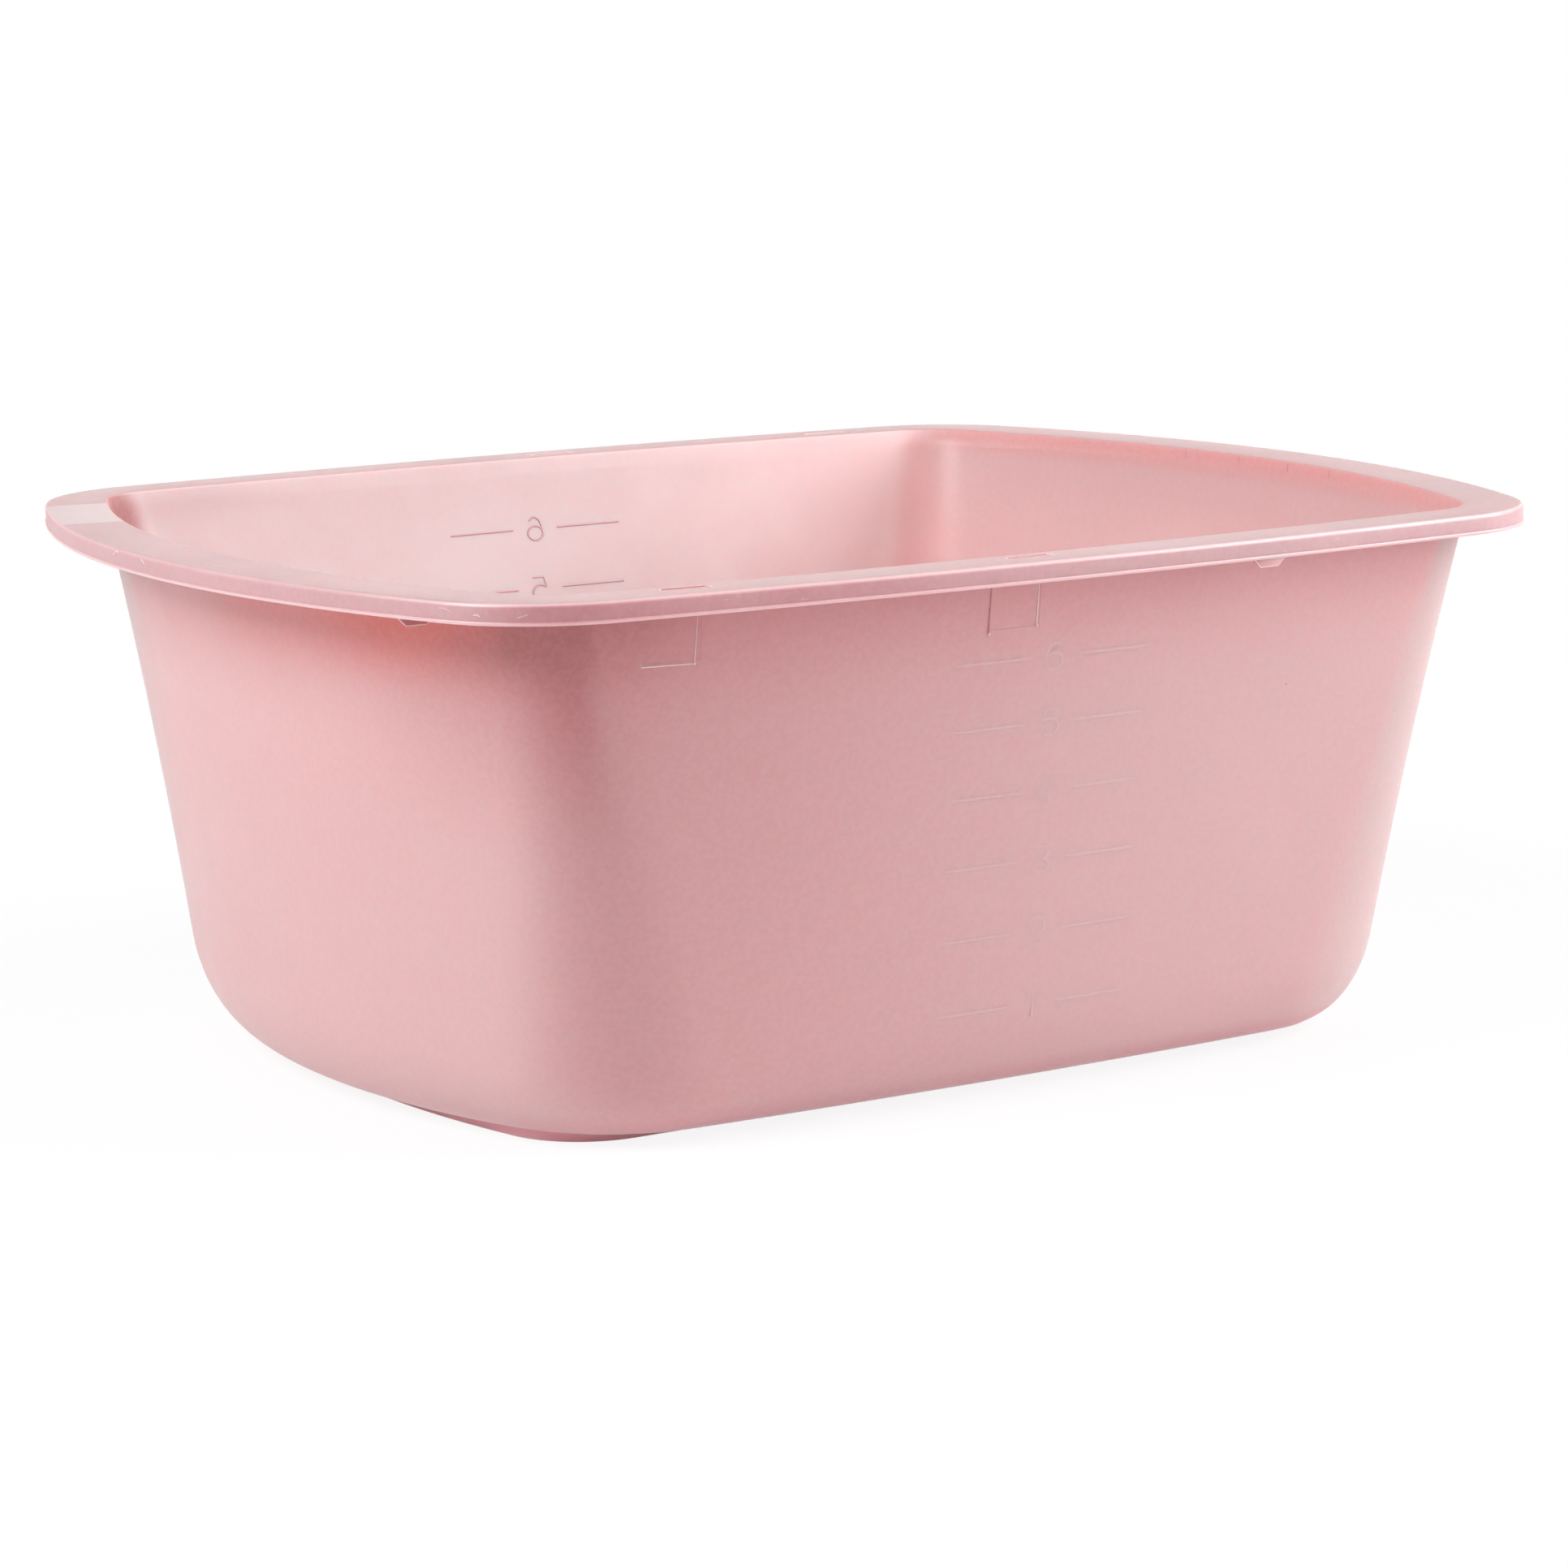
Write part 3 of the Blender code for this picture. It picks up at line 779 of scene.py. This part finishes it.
def paint_rim(plastic):
    """Dust on the lip and the flange, with painted shade on the lip toward two corners and on the flange, and
    a painted reflection at one corner of the flange.
    """
    dust = plastic.ramp(plastic.noise(**DUST), 0.30, 0.75, 0.75, 1.0)
    dusty = plastic.times(plastic.most(plastic.on_lip, plastic.on_flange), dust)
    # The lip is deeper as painted shade on the long walls toward two corners
    lip = plastic.blend(plastic.shaded_side, plastic.tinted(HAZY_LIP), plastic.tinted(SHADED_LIP))
    # The flange is greyed as dust and darkened as painted shade
    plastic.paint(dusty, plastic.blend(plastic.on_flange, lip, plastic.tinted(DUSTY_SHADED_FLANGE)))

    # Painted reflection: a paler patch with straight edges on the flange at the -X end
    dot_product = {0: plastic.object_place, 1: PATCH_DIRECTION}
    slanted = plastic.add("ShaderNodeVectorMath", dot_product, operation="DOT_PRODUCT").outputs["Value"]
    patch = plastic.times(plastic.ramp(slanted, *PATCH_START), plastic.ramp(slanted, *PATCH_END))
    patch = plastic.times(patch, plastic.zone(x=PATCH_AT_END), plastic.on_flange, PATCH_REFLECTION_SHARE)
    plastic.paint(patch, PATCH_REFLECTION)


def paint_wear(plastic, pale):
    """Painted highlights on the lip's bead and top edge, then scratches and specks, then the pale of trim
    pieces. Gives the share that is painted highlight.
    """
    # Painted highlights on the bead and the top edge of the lip
    bead = plastic.zone(height=(LIP_BOTTOM + 0.0008, LIP_BOTTOM + 0.0004, 0.0, 0.45))
    top_edge = plastic.zone(
        height=(RIM_HEIGHT - 0.0008, RIM_HEIGHT - 0.0004, 0.0, 0.45), across=(0.20, 0.45, 0.3, 1.0)
    )
    outer_edge = plastic.zone(inset=(0.0009, 0.0004), height=(0.118, 0.121))
    edge_highlight = plastic.times(plastic.most(bead, top_edge), outer_edge)
    plastic.paint(edge_highlight, EDGE_HIGHLIGHT)
    scratches = plastic.ramp(plastic.noise(**SCRATCHES), 0.66, 0.72, 0.0, 0.2)
    plastic.paint(plastic.times(scratches, plastic.on_lip), SCRATCHED)
    plastic.paint(plastic.ramp(plastic.noise(**SPECKS), 0.35, 0.65, 0.0, 0.05), SPECKLED)
    # The pale of trim pieces: painted highlights on ridges, slot ends and lug edges, and scuffs on the lip
    plastic.paint(pale, PALE)
    return edge_highlight


def pink_polypropylene(name, haze_and_sheen_share=1.0, tint=(1, 1, 1), pale=0.0, translucent=0.8):
    """Dusty pink satin polypropylene, a little translucent, hazed in places, with dust and handling marks,
    and with painted shade, light, sheen and highlights.
    """
    plastic = Plastic(name, tint)
    paint_outer_wall(plastic)
    dull = paint_inside(plastic, haze_and_sheen_share)
    paint_rim(plastic)
    edge_highlight = paint_wear(plastic, pale)

    roughness = plastic.ramp(plastic.noise(**POLISH), 0.3, 0.7, *ROUGHNESS)
    roughness = plastic.math("ADD", roughness, plastic.times(plastic.on_flange, FLANGE_ROUGHER))
    roughness = plastic.math("SUBTRACT", roughness, plastic.times(edge_highlight, HIGHLIGHT_SMOOTHER))
    roughness = plastic.math("ADD", roughness, plastic.times(dull, DULL_ROUGHER))
    grain = plastic.times(plastic.noise(**GRAIN), GRAIN_SHARE)
    ripple = plastic.times(plastic.noise(**RIPPLE), RIPPLE_SHARE)
    relief = {
        "Height": plastic.math("ADD", grain, ripple),
        "Strength": RELIEF_STRENGTH,
        "Distance": RELIEF_DEPTH,
    }
    shader = plastic.shader.inputs
    plastic.feed(shader["Base Color"], plastic.colour)
    plastic.feed(shader["Roughness"], roughness)
    plastic.feed(shader["Normal"], plastic.add("ShaderNodeBump", relief).outputs["Normal"])
    for socket, value in EVEN_FINISH.items():
        shader[socket].default_value = value
    shader["Subsurface Weight"].default_value = translucent
    return plastic.material


def curve(centre_x, centre_y, reach_x, reach_y, start, end, facets=18):
    """Elliptic stroke between two angles in degrees, clockwise when the end is lower."""
    turns = [math.radians(mixed(start, end, share)) for share in steps(facets)]
    return [(centre_x + reach_x * math.cos(a), centre_y + reach_y * math.sin(a)) for a in turns]


# Numerals of the volume scales: single strokes in a cell of height 1, x to the right of its middle
NUMERALS = {
    1: [[(-0.20, 0.80), (0.03, 1.0), (0.03, 0.0)]],
    2: [curve(0, 0.67, 0.36, 0.33, 165, -32) + [(-0.38, 0.0), (0.39, 0.0)]],
    3: [curve(0, 0.76, 0.33, 0.24, 155, -90) + curve(0, 0.26, 0.38, 0.26, 90, -155)[1:]],
    4: [[(0.17, 0.0), (0.17, 1.0), (-0.38, 0.30), (0.40, 0.30)]],
    5: [[(0.33, 1.0), (-0.20, 1.0), (-0.31, 0.58)] + curve(0.0, 0.33, 0.38, 0.33, 140, -150)],
    6: [
        curve(0.02, 0.69, 0.29, 0.31, 25, 165) + [(-0.36, 0.45)],
        curve(0, 0.31, 0.37, 0.31, 180, -180, 30),
    ],
}

# Volume scales: numerals with a line to each side, raised inside and showing faintly through the wall
NUMERAL_HEIGHT = 0.0060
LINE_FROM_MIDDLE = 0.0066
LINE_END = 0.0252
STROKE_RADIUS = 0.00030
STROKE_SUNK = 0.00012
SHOWN_RADIUS = 0.00038
SHOWN_SHARE = 0.06

# Where each scale's middle lies along its wall, and the heights of its lines
LITRE_SCALE_MIDDLE = 0.0006
QUART_SCALE_MIDDLE = 0.0021
LITRE_LEVELS = (0.02339, 0.04158, 0.05913, 0.07605, 0.09239, 0.10817)
QUART_LEVELS = (0.02239, 0.03966, 0.05635, 0.07247, 0.08806, 0.10315)

# Step in height over which the wall's lean is measured
LEAN_STEP = 0.0005


def scale_strokes(levels, middle):
    """Strokes of a whole scale as flat (distance along the wall, height) points."""
    strokes = []
    for number, level in enumerate(levels, 1):
        for start, end in ((-LINE_END, -LINE_FROM_MIDDLE), (LINE_FROM_MIDDLE, LINE_END)):
            strokes.append([(middle + mixed(start, end, share), level) for share in steps(LINE_FACETS)])
        for path in NUMERALS[number]:
            bottom = level - NUMERAL_HEIGHT / 2
            strokes.append([(middle + x * NUMERAL_HEIGHT, bottom + y * NUMERAL_HEIGHT) for x, y in path])
    return strokes


def stroke_mesh(strokes, radius, name):
    """Round strokes lying flat: x along the wall, y up it, z out of it."""
    data = bpy.data.curves.new(name, "CURVE")
    data.dimensions = "3D"
    data.bevel_depth = radius
    data.bevel_resolution = 2
    data.use_fill_caps = True
    for points in strokes:
        spline = data.splines.new("POLY")
        spline.points.add(len(points) - 1)
        for point, place in zip(spline.points, points):
            point.co = (*place[:2], 0, 1)
            point.radius = place[2] if len(place) > 2 else 1
    lines = new_piece(name + "_lines", data)
    mesh = finished_mesh(lines)
    bpy.data.objects.remove(lines)
    mesh.name = name
    return mesh


def on_wall(along, height, outward, inset=0):
    """Point of the front wall: inset 0 for its outer face, the wall's thickness for its inner face."""
    y, slant = wall_outline(height).grown(-inset).side_at(along)
    above = wall_outline(height + LEAN_STEP).side_at(along)[0]
    below = wall_outline(height - LEAN_STEP).side_at(along)[0]
    lean = (above - below) / (2 * LEAN_STEP)
    normal = Vector((-math.sin(slant), math.cos(slant), -lean)).normalized()
    place = Vector((along, y, height)) + normal * outward
    return Vector((place.x, -place.y, place.z))


def lay_on_wall(mesh, outward, inset=0):
    """Wrap a flat mesh round the front wall; outward makes its z a distance out of the wall's face."""
    for vert in mesh.vertices:
        vert.co = on_wall(vert.co.x, vert.co.y, outward(vert.co.z), inset)


def closed_smooth(mesh, name, material):
    """A piece whose faces look out and are smooth."""
    bm = bmesh.new()
    bm.from_mesh(mesh)
    bmesh.ops.recalc_face_normals(bm, faces=bm.faces)
    bm.to_mesh(mesh)
    bm.free()
    smooth(mesh, RELIEF_SHARP)
    return new_piece(name, mesh, material)


def wall_scale(name, levels, middle, turn, material):
    """Raised scale on the inner face of the front wall, or of the back wall by a half turn."""
    mesh = stroke_mesh(scale_strokes(levels, middle), STROKE_RADIUS, name)
    lay_on_wall(mesh, lambda z: STROKE_SUNK - z, WALL_THICKNESS)
    mesh.transform(Matrix.Rotation(turn, 4, "Z"))
    return closed_smooth(mesh, name, material)


def scale_shadow(name, levels, middle, turn, material):
    """The same scale as it shows through the wall: a film on the outer face."""
    mesh = stroke_mesh(scale_strokes(levels, middle), SHOWN_RADIUS, name)
    lay_on_wall(mesh, lambda z: z * SHOWN_SHARE)
    mesh.transform(Matrix.Rotation(turn, 4, "Z"))
    return closed_smooth(mesh, name, material)


# Outlines of the mould's inserts on the wall, as (distance along it, height, thickness share)
INSERT_RIDGES = (
    [(-0.1008, 0.1170, 0.15), (-0.1005, 0.1100, 0.4)],
    [(-0.1005, 0.1100, 1.0), (-0.0881, 0.1098, 0.8)],
    [(-0.0877, 0.1248, 0.15), (-0.0881, 0.1098, 0.75)],
    [(-0.0033, 0.1248, 0.5), (-0.0033, 0.1107, 1.1)],
)
INSERT_STEPS = ([(-0.0158, 0.1248, 0.8), (-0.0158, 0.1097, 1.8)],)
INSERT_NUBS = (
    (-0.0881, 0.1098, 0.9),
    (-0.0157, 0.1098, 1.1),
    (-0.0157, 0.1087, 0.6),
    (-0.0033, 0.1107, 1.0),
)


def insert_ridges(name, ridges, nubs, material):
    """Thin witness ridges and nubs on the outer wall, front and back."""
    strokes = []
    for start, end in ridges:
        ridge = [tuple(mixed(a, b, share) for a, b in zip(start, end)) for share in steps(LINE_FACETS)]
        strokes.append(ridge)
    mesh = stroke_mesh(strokes, RIDGE_RADIUS, name)
    lay_on_wall(mesh, lambda z: z - RIDGE_SUNK)
    bm = bmesh.new()
    bm.from_mesh(mesh)
    for along, height, size in nubs:
        place = Matrix.Translation(on_wall(along, height, 0))
        bmesh.ops.create_uvsphere(bm, u_segments=16, v_segments=10, radius=NUB_RADIUS * size, matrix=place)
    front = mesh_from(bm, name)
    back = front.copy()
    back.transform(Matrix.Rotation(math.pi, 4, "Z"))
    return closed_smooth(joined([front, back], name), name, material)


def slot_ends(material):
    """Rounded ridge, level with the flange, round both ends of each insert's slot."""
    centre_x = INSERT_LENGTH / 2 - RIDGE_RADIUS - SLOT_CORNER_RADIUS
    centre_y = SLOT_WIDTH / 2 - RIDGE_RADIUS - SLOT_CORNER_RADIUS
    ends = []
    for side, turned in ((1, -90), (-1, 90)):
        end = []
        for y, start in ((-side, turned), (side, turned + 90)):
            start, stop = math.radians(start), math.radians(start + 90)
            end += arc(side * centre_x, y * centre_y, SLOT_CORNER_RADIUS, start, stop, SLOT_CORNER_FACETS)
        ends.append(end)
    ridges = []
    for turn in HALF_TURNS:
        for place in INSERT_PLACES:
            y, slant = MOUTH.grown(SLOT_FROM_MOUTH).side_at(place)
            ridge = stroke_mesh(ends, RIDGE_RADIUS, "ridge")
            ridges.append(set_at(ridge, place, y, RIM_HEIGHT - RIDGE_RADIUS, turn, slant))
    return closed_smooth(joined(ridges, "slot_ends"), "slot_ends", material)


def lug_edges(material):
    """Fine rounded border along the free edge of each lug's outer face."""
    top = LIP_BOTTOM + LUG_DROP
    bottom = LIP_BOTTOM - LUG_DROP
    half = LUG_LENGTH / 2
    shoulder = half - LUG_DROP
    border = [(-half, top), (-half, LIP_BOTTOM), (-shoulder, bottom), (shoulder, bottom)]
    border += [(half, LIP_BOTTOM), (half, top)]
    lip_inside = RIM.grown(-LIP_THICKNESS)
    side_y = lip_inside.side_at(SIDE_LUG_FROM_MIDDLE)[0] + LUG_SINK
    end_x = lip_inside.end_at(END_LUG_FROM_MIDDLE) + LUG_SINK - half
    end_y = END_LUG_FROM_MIDDLE + LUG_THICKNESS / 2
    edges = []
    for turn in HALF_TURNS:
        for x, y in ((-SIDE_LUG_FROM_MIDDLE, side_y), (end_x, end_y)):
            edge = stroke_mesh([border], LUG_EDGE_RADIUS, "edge")
            edge.transform(Matrix.Rotation(math.pi / 2, 4, "X"))
            edges.append(set_at(edge, x, y - LUG_EDGE_RADIUS, 0, turn))
    return closed_smooth(joined(edges, "lug_edges"), "lug_edges", material)


# Handling marks on the lip's outer face, as paths of (distance along Y, height) at the -X end, and
# of (degrees round the corner, height, thickness share) at the corner beside its -Y end
SCUFF_RADIUS = 0.00012
END_SCUFFS = (
    [(0.0163, 0.12520), (0.0152, 0.12600), (0.0140, 0.12625), (0.0131, 0.12600)],
    [(-0.0009, 0.12590), (-0.0020, 0.12555), (-0.0027, 0.12515)],
)
CORNER_SCUFFS = (
    [(20.5, 0.12536, 0.5), (22.7, 0.12540, 0.5), (25.6, 0.12479, 0.5)],
    [(34.7, 0.12430, 1.0), (36.0, 0.12447, 1.0), (37.2, 0.12407, 1.0)],
    [(50.4, 0.12394, 0.5), (54.1, 0.12465, 0.5)],
    [(88.7, 0.12340, 0.6), (91.1, 0.12282, 0.6)],
)

# Dashes under the mouth at the +X end: distance along Y, and heights of their ends
TICK_PLACES = (0.0283, 0.0068, -0.0145, -0.0340)
TICK_TOP = 0.1263
TICK_BOTTOM = 0.1242
TICK_RADIUS = 0.00018

# A speck on the front wall, as (distance along it, height, thickness share)
WALL_SPECK = ([(0.0683, 0.0901, 1.5), (0.0688, 0.0899, 1.5)],)

# Height of a mark's stroke over its half width
MARK_FLATNESS = 0.5


def mouth_ticks(material):
    """Short dashes on the inner face of the +X end wall, just under the mouth."""
    heights = [mixed(TICK_TOP, TICK_BOTTOM, share) for share in steps(TICK_FACETS)]
    strokes = [[(y, z) for z in heights] for y in TICK_PLACES]
    mesh = stroke_mesh(strokes, TICK_RADIUS, "mouth_ticks")
    for vert in mesh.vertices:
        along, z, out = vert.co
        inner_face = wall_outline(z).grown(-WALL_THICKNESS - out * MARK_FLATNESS)
        vert.co = (inner_face.end_at(along), along, z)
    return closed_smooth(mesh, "mouth_ticks", material)


def on_lip_end(along, out, z):
    return -RIM.grown(out).end_at(along), along, z


def on_lip_corner(along, out, z):
    angle = along / RIM.corner_radius
    centre_x, centre_y = RIM.corner_centre()
    reach = RIM.corner_radius + out
    return -centre_x - reach * math.cos(angle), -centre_y - reach * math.sin(angle), z


def lip_scuffs(material):
    """Short pale scuffs on the lip, at the -X end and round the corner beside it."""
    round_corner = []
    for path in CORNER_SCUFFS:
        round_corner.append([(math.radians(turn) * RIM.corner_radius, z, share) for turn, z, share in path])
    scuffs = []
    for strokes, on_lip in ((END_SCUFFS, on_lip_end), (round_corner, on_lip_corner)):
        mesh = stroke_mesh(strokes, SCUFF_RADIUS, "scuffs")
        for vert in mesh.vertices:
            along, z, out = vert.co
            drop = max(0, z - RIM_HEIGHT + RIM_EDGE_RADIUS)
            inset = RIM_EDGE_RADIUS - math.sqrt(RIM_EDGE_RADIUS**2 - drop**2)
            vert.co = on_lip(along, out * MARK_FLATNESS - inset, z)
        scuffs.append(mesh)
    return closed_smooth(joined(scuffs, "lip_scuffs"), "lip_scuffs", material)


def wall_speck(material):
    """A dark speck in the plastic of the front wall."""
    mesh = stroke_mesh(WALL_SPECK, RIDGE_RADIUS, "wall_speck")
    lay_on_wall(mesh, lambda z: z * MARK_FLATNESS)
    return closed_smooth(mesh, "wall_speck", material)


# Camera: compass direction with the front at 0, height and roll in degrees, lens and sensor in mm
CAMERA_AZIMUTH = -30.621
CAMERA_ELEVATION = 10.391
CAMERA_ROLL = -1.074
CAMERA_DISTANCE = 1.08109
CAMERA_LENS = 101.20
CAMERA_SENSOR = 36
CAMERA_NEAREST = 0.01
TARGET_HEIGHT = 0.06115
TARGET_TO_RIGHT = 0.003199
TARGET_DOWN = 0.004393

# Softboxes: name, compass direction and height in degrees, size, watts
SOFTBOXES = (
    ("left_light", 268, 40, (0.9, 0.9), 29),
    ("right_light", 58, 27, (1.3, 1.2), 38),
    ("back_light", 150, 18, (0.9, 0.9), 2),
    ("top_light", 0, 88, (1.0, 1.0), 2),
)
SOFTBOX_DISTANCE = 1.7

# White surroundings: their light on the object, and how they look
LIGHT_AROUND = 0.10
WHITE_SEEN = 1.0

# White table: half its size, and where plain white takes over from its shadow
TABLE_REACH = 3.0
TABLE_FACETS = 8
TABLE_WHITE = (0.9, 0.9, 0.9, 1)
TABLE_ROUGHNESS = 0.7
NEAR_BASIN = 0.16
FAR_FROM_BASIN = 0.5
PLAIN_NEAR_BASIN = 0.88


def toward(azimuth, elevation):
    """Direction from the basin, with the front at 0 degrees and the right at 90."""
    turn, rise = math.radians(azimuth), math.radians(elevation)
    return Vector((math.sin(turn) * math.cos(rise), -math.cos(turn) * math.cos(rise), math.sin(rise)))


def camera():
    turn, roll = math.radians(CAMERA_AZIMUTH), math.radians(CAMERA_ROLL)
    back = toward(CAMERA_AZIMUTH, CAMERA_ELEVATION)
    right = Vector((math.cos(turn), math.sin(turn), 0))
    up = back.cross(right)
    target = right * TARGET_TO_RIGHT - up * TARGET_DOWN + Vector((0, 0, TARGET_HEIGHT))
    data = bpy.data.cameras.new("camera")
    data.lens = CAMERA_LENS
    data.sensor_width = CAMERA_SENSOR
    data.clip_start = CAMERA_NEAREST
    eye = bpy.data.objects.new("camera", data)
    bpy.context.scene.collection.objects.link(eye)
    x_axis = right * math.cos(roll) + up * math.sin(roll)
    y_axis = up * math.cos(roll) - right * math.sin(roll)
    turned = Matrix((x_axis, y_axis, back)).transposed().to_4x4()
    eye.matrix_world = Matrix.Translation(target + back * CAMERA_DISTANCE) @ turned
    bpy.context.scene.camera = eye


def softbox(name, azimuth, elevation, size, watts):
    """Lamp that looks at the basin's middle."""
    away = toward(azimuth, elevation)
    data = bpy.data.lights.new(name, "AREA")
    data.shape = "RECTANGLE"
    data.size, data.size_y = size
    data.energy = watts
    lamp = bpy.data.objects.new(name, data)
    bpy.context.scene.collection.objects.link(lamp)
    lamp.location = away * SOFTBOX_DISTANCE + Vector((0, 0, RIM_HEIGHT / 2))
    lamp.rotation_euler = (-away).to_track_quat("-Z", "Y").to_euler()


def surroundings():
    """White all round: full white where it is seen, and dim as light on the object."""
    world = bpy.data.worlds.new("studio")
    bpy.context.scene.world = world
    world.use_nodes = True
    nodes = Nodes(world.node_tree)
    background = world.node_tree.nodes["Background"].inputs
    background["Color"].default_value = (1, 1, 1, 1)
    nodes.feed(background["Strength"], nodes.ramp(nodes.seen(), 0, 1, LIGHT_AROUND, WHITE_SEEN))


def white_table():
    """Paper white where it is seen, with the object's own shadow kept near it."""
    nodes = Surface("white_table")
    nodes.shader.inputs["Base Color"].default_value = TABLE_WHITE
    nodes.shader.inputs["Roughness"].default_value = TABLE_ROUGHNESS
    white = nodes.add("ShaderNodeEmission", {"Color": (1, 1, 1, 1), "Strength": 1.0})
    distance = nodes.add("ShaderNodeVectorMath", {0: nodes.object_place}, operation="LENGTH").outputs["Value"]
    plain = nodes.ramp(distance, NEAR_BASIN, FAR_FROM_BASIN, PLAIN_NEAR_BASIN, 1.0)
    sides = {0: nodes.times(nodes.seen(), plain), 1: nodes.shader.outputs[0], 2: white.outputs[0]}
    output = nodes.tree.nodes["Material Output"]
    nodes.feed(output.inputs["Surface"], nodes.add("ShaderNodeMixShader", sides).outputs[0])
    return nodes.material


def studio():
    surroundings()
    bm = bmesh.new()
    bmesh.ops.create_grid(bm, x_segments=TABLE_FACETS, y_segments=TABLE_FACETS, size=TABLE_REACH)
    floor = new_piece("floor", mesh_from(bm, "floor"), white_table())
    for name, azimuth, elevation, size, watts in SOFTBOXES:
        softbox(name, azimuth, elevation, size, watts)


def main():
    scene = bpy.context.scene
    scene.view_settings.view_transform = "Standard"
    camera()
    pink = pink_polypropylene("pink_polypropylene")
    relief_pink = pink_polypropylene("scale_relief", haze_and_sheen_share=0.3, tint=(1.0, 0.74, 0.76), translucent=0)
    shown_pink = pink_polypropylene("scale_shown_through", tint=(1.03, 0.965, 0.968), translucent=0)
    # Trim pieces made pale: painted highlights on ridges, slot ends and lug edges, and scuffs on the lip
    highlight_and_scuff_pink = pink_polypropylene("highlights_and_scuffs", pale=0.8, translucent=0)
    # The lugs hang in the lip's shadow: their pink is darkened as painted shade
    lug_shade_pink = pink_polypropylene("stacking_lugs", tint=(0.92, 0.70, 0.72))
    litres = (LITRE_LEVELS, LITRE_SCALE_MIDDLE, math.pi)
    quarts = (QUART_LEVELS, QUART_SCALE_MIDDLE, 0)
    basin = moulding(pink)
    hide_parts("basin")
    pieces = [
        basin,
        stacking_lugs(lug_shade_pink),
        wall_scale("litre_scale", *litres, relief_pink),
        wall_scale("quart_scale", *quarts, relief_pink),
        scale_shadow("litre_scale_shown_through", *litres, shown_pink),
        scale_shadow("quart_scale_shown_through", *quarts, shown_pink),
        insert_ridges("insert_ridges", INSERT_RIDGES, INSERT_NUBS, highlight_and_scuff_pink),
        insert_ridges("insert_steps", INSERT_STEPS, (), relief_pink),
        slot_ends(highlight_and_scuff_pink),
        lug_edges(highlight_and_scuff_pink),
        lip_scuffs(highlight_and_scuff_pink),
        mouth_ticks(relief_pink),
        wall_speck(relief_pink),
    ]
    for piece in pieces:
        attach(piece, "root")
    studio()


main()
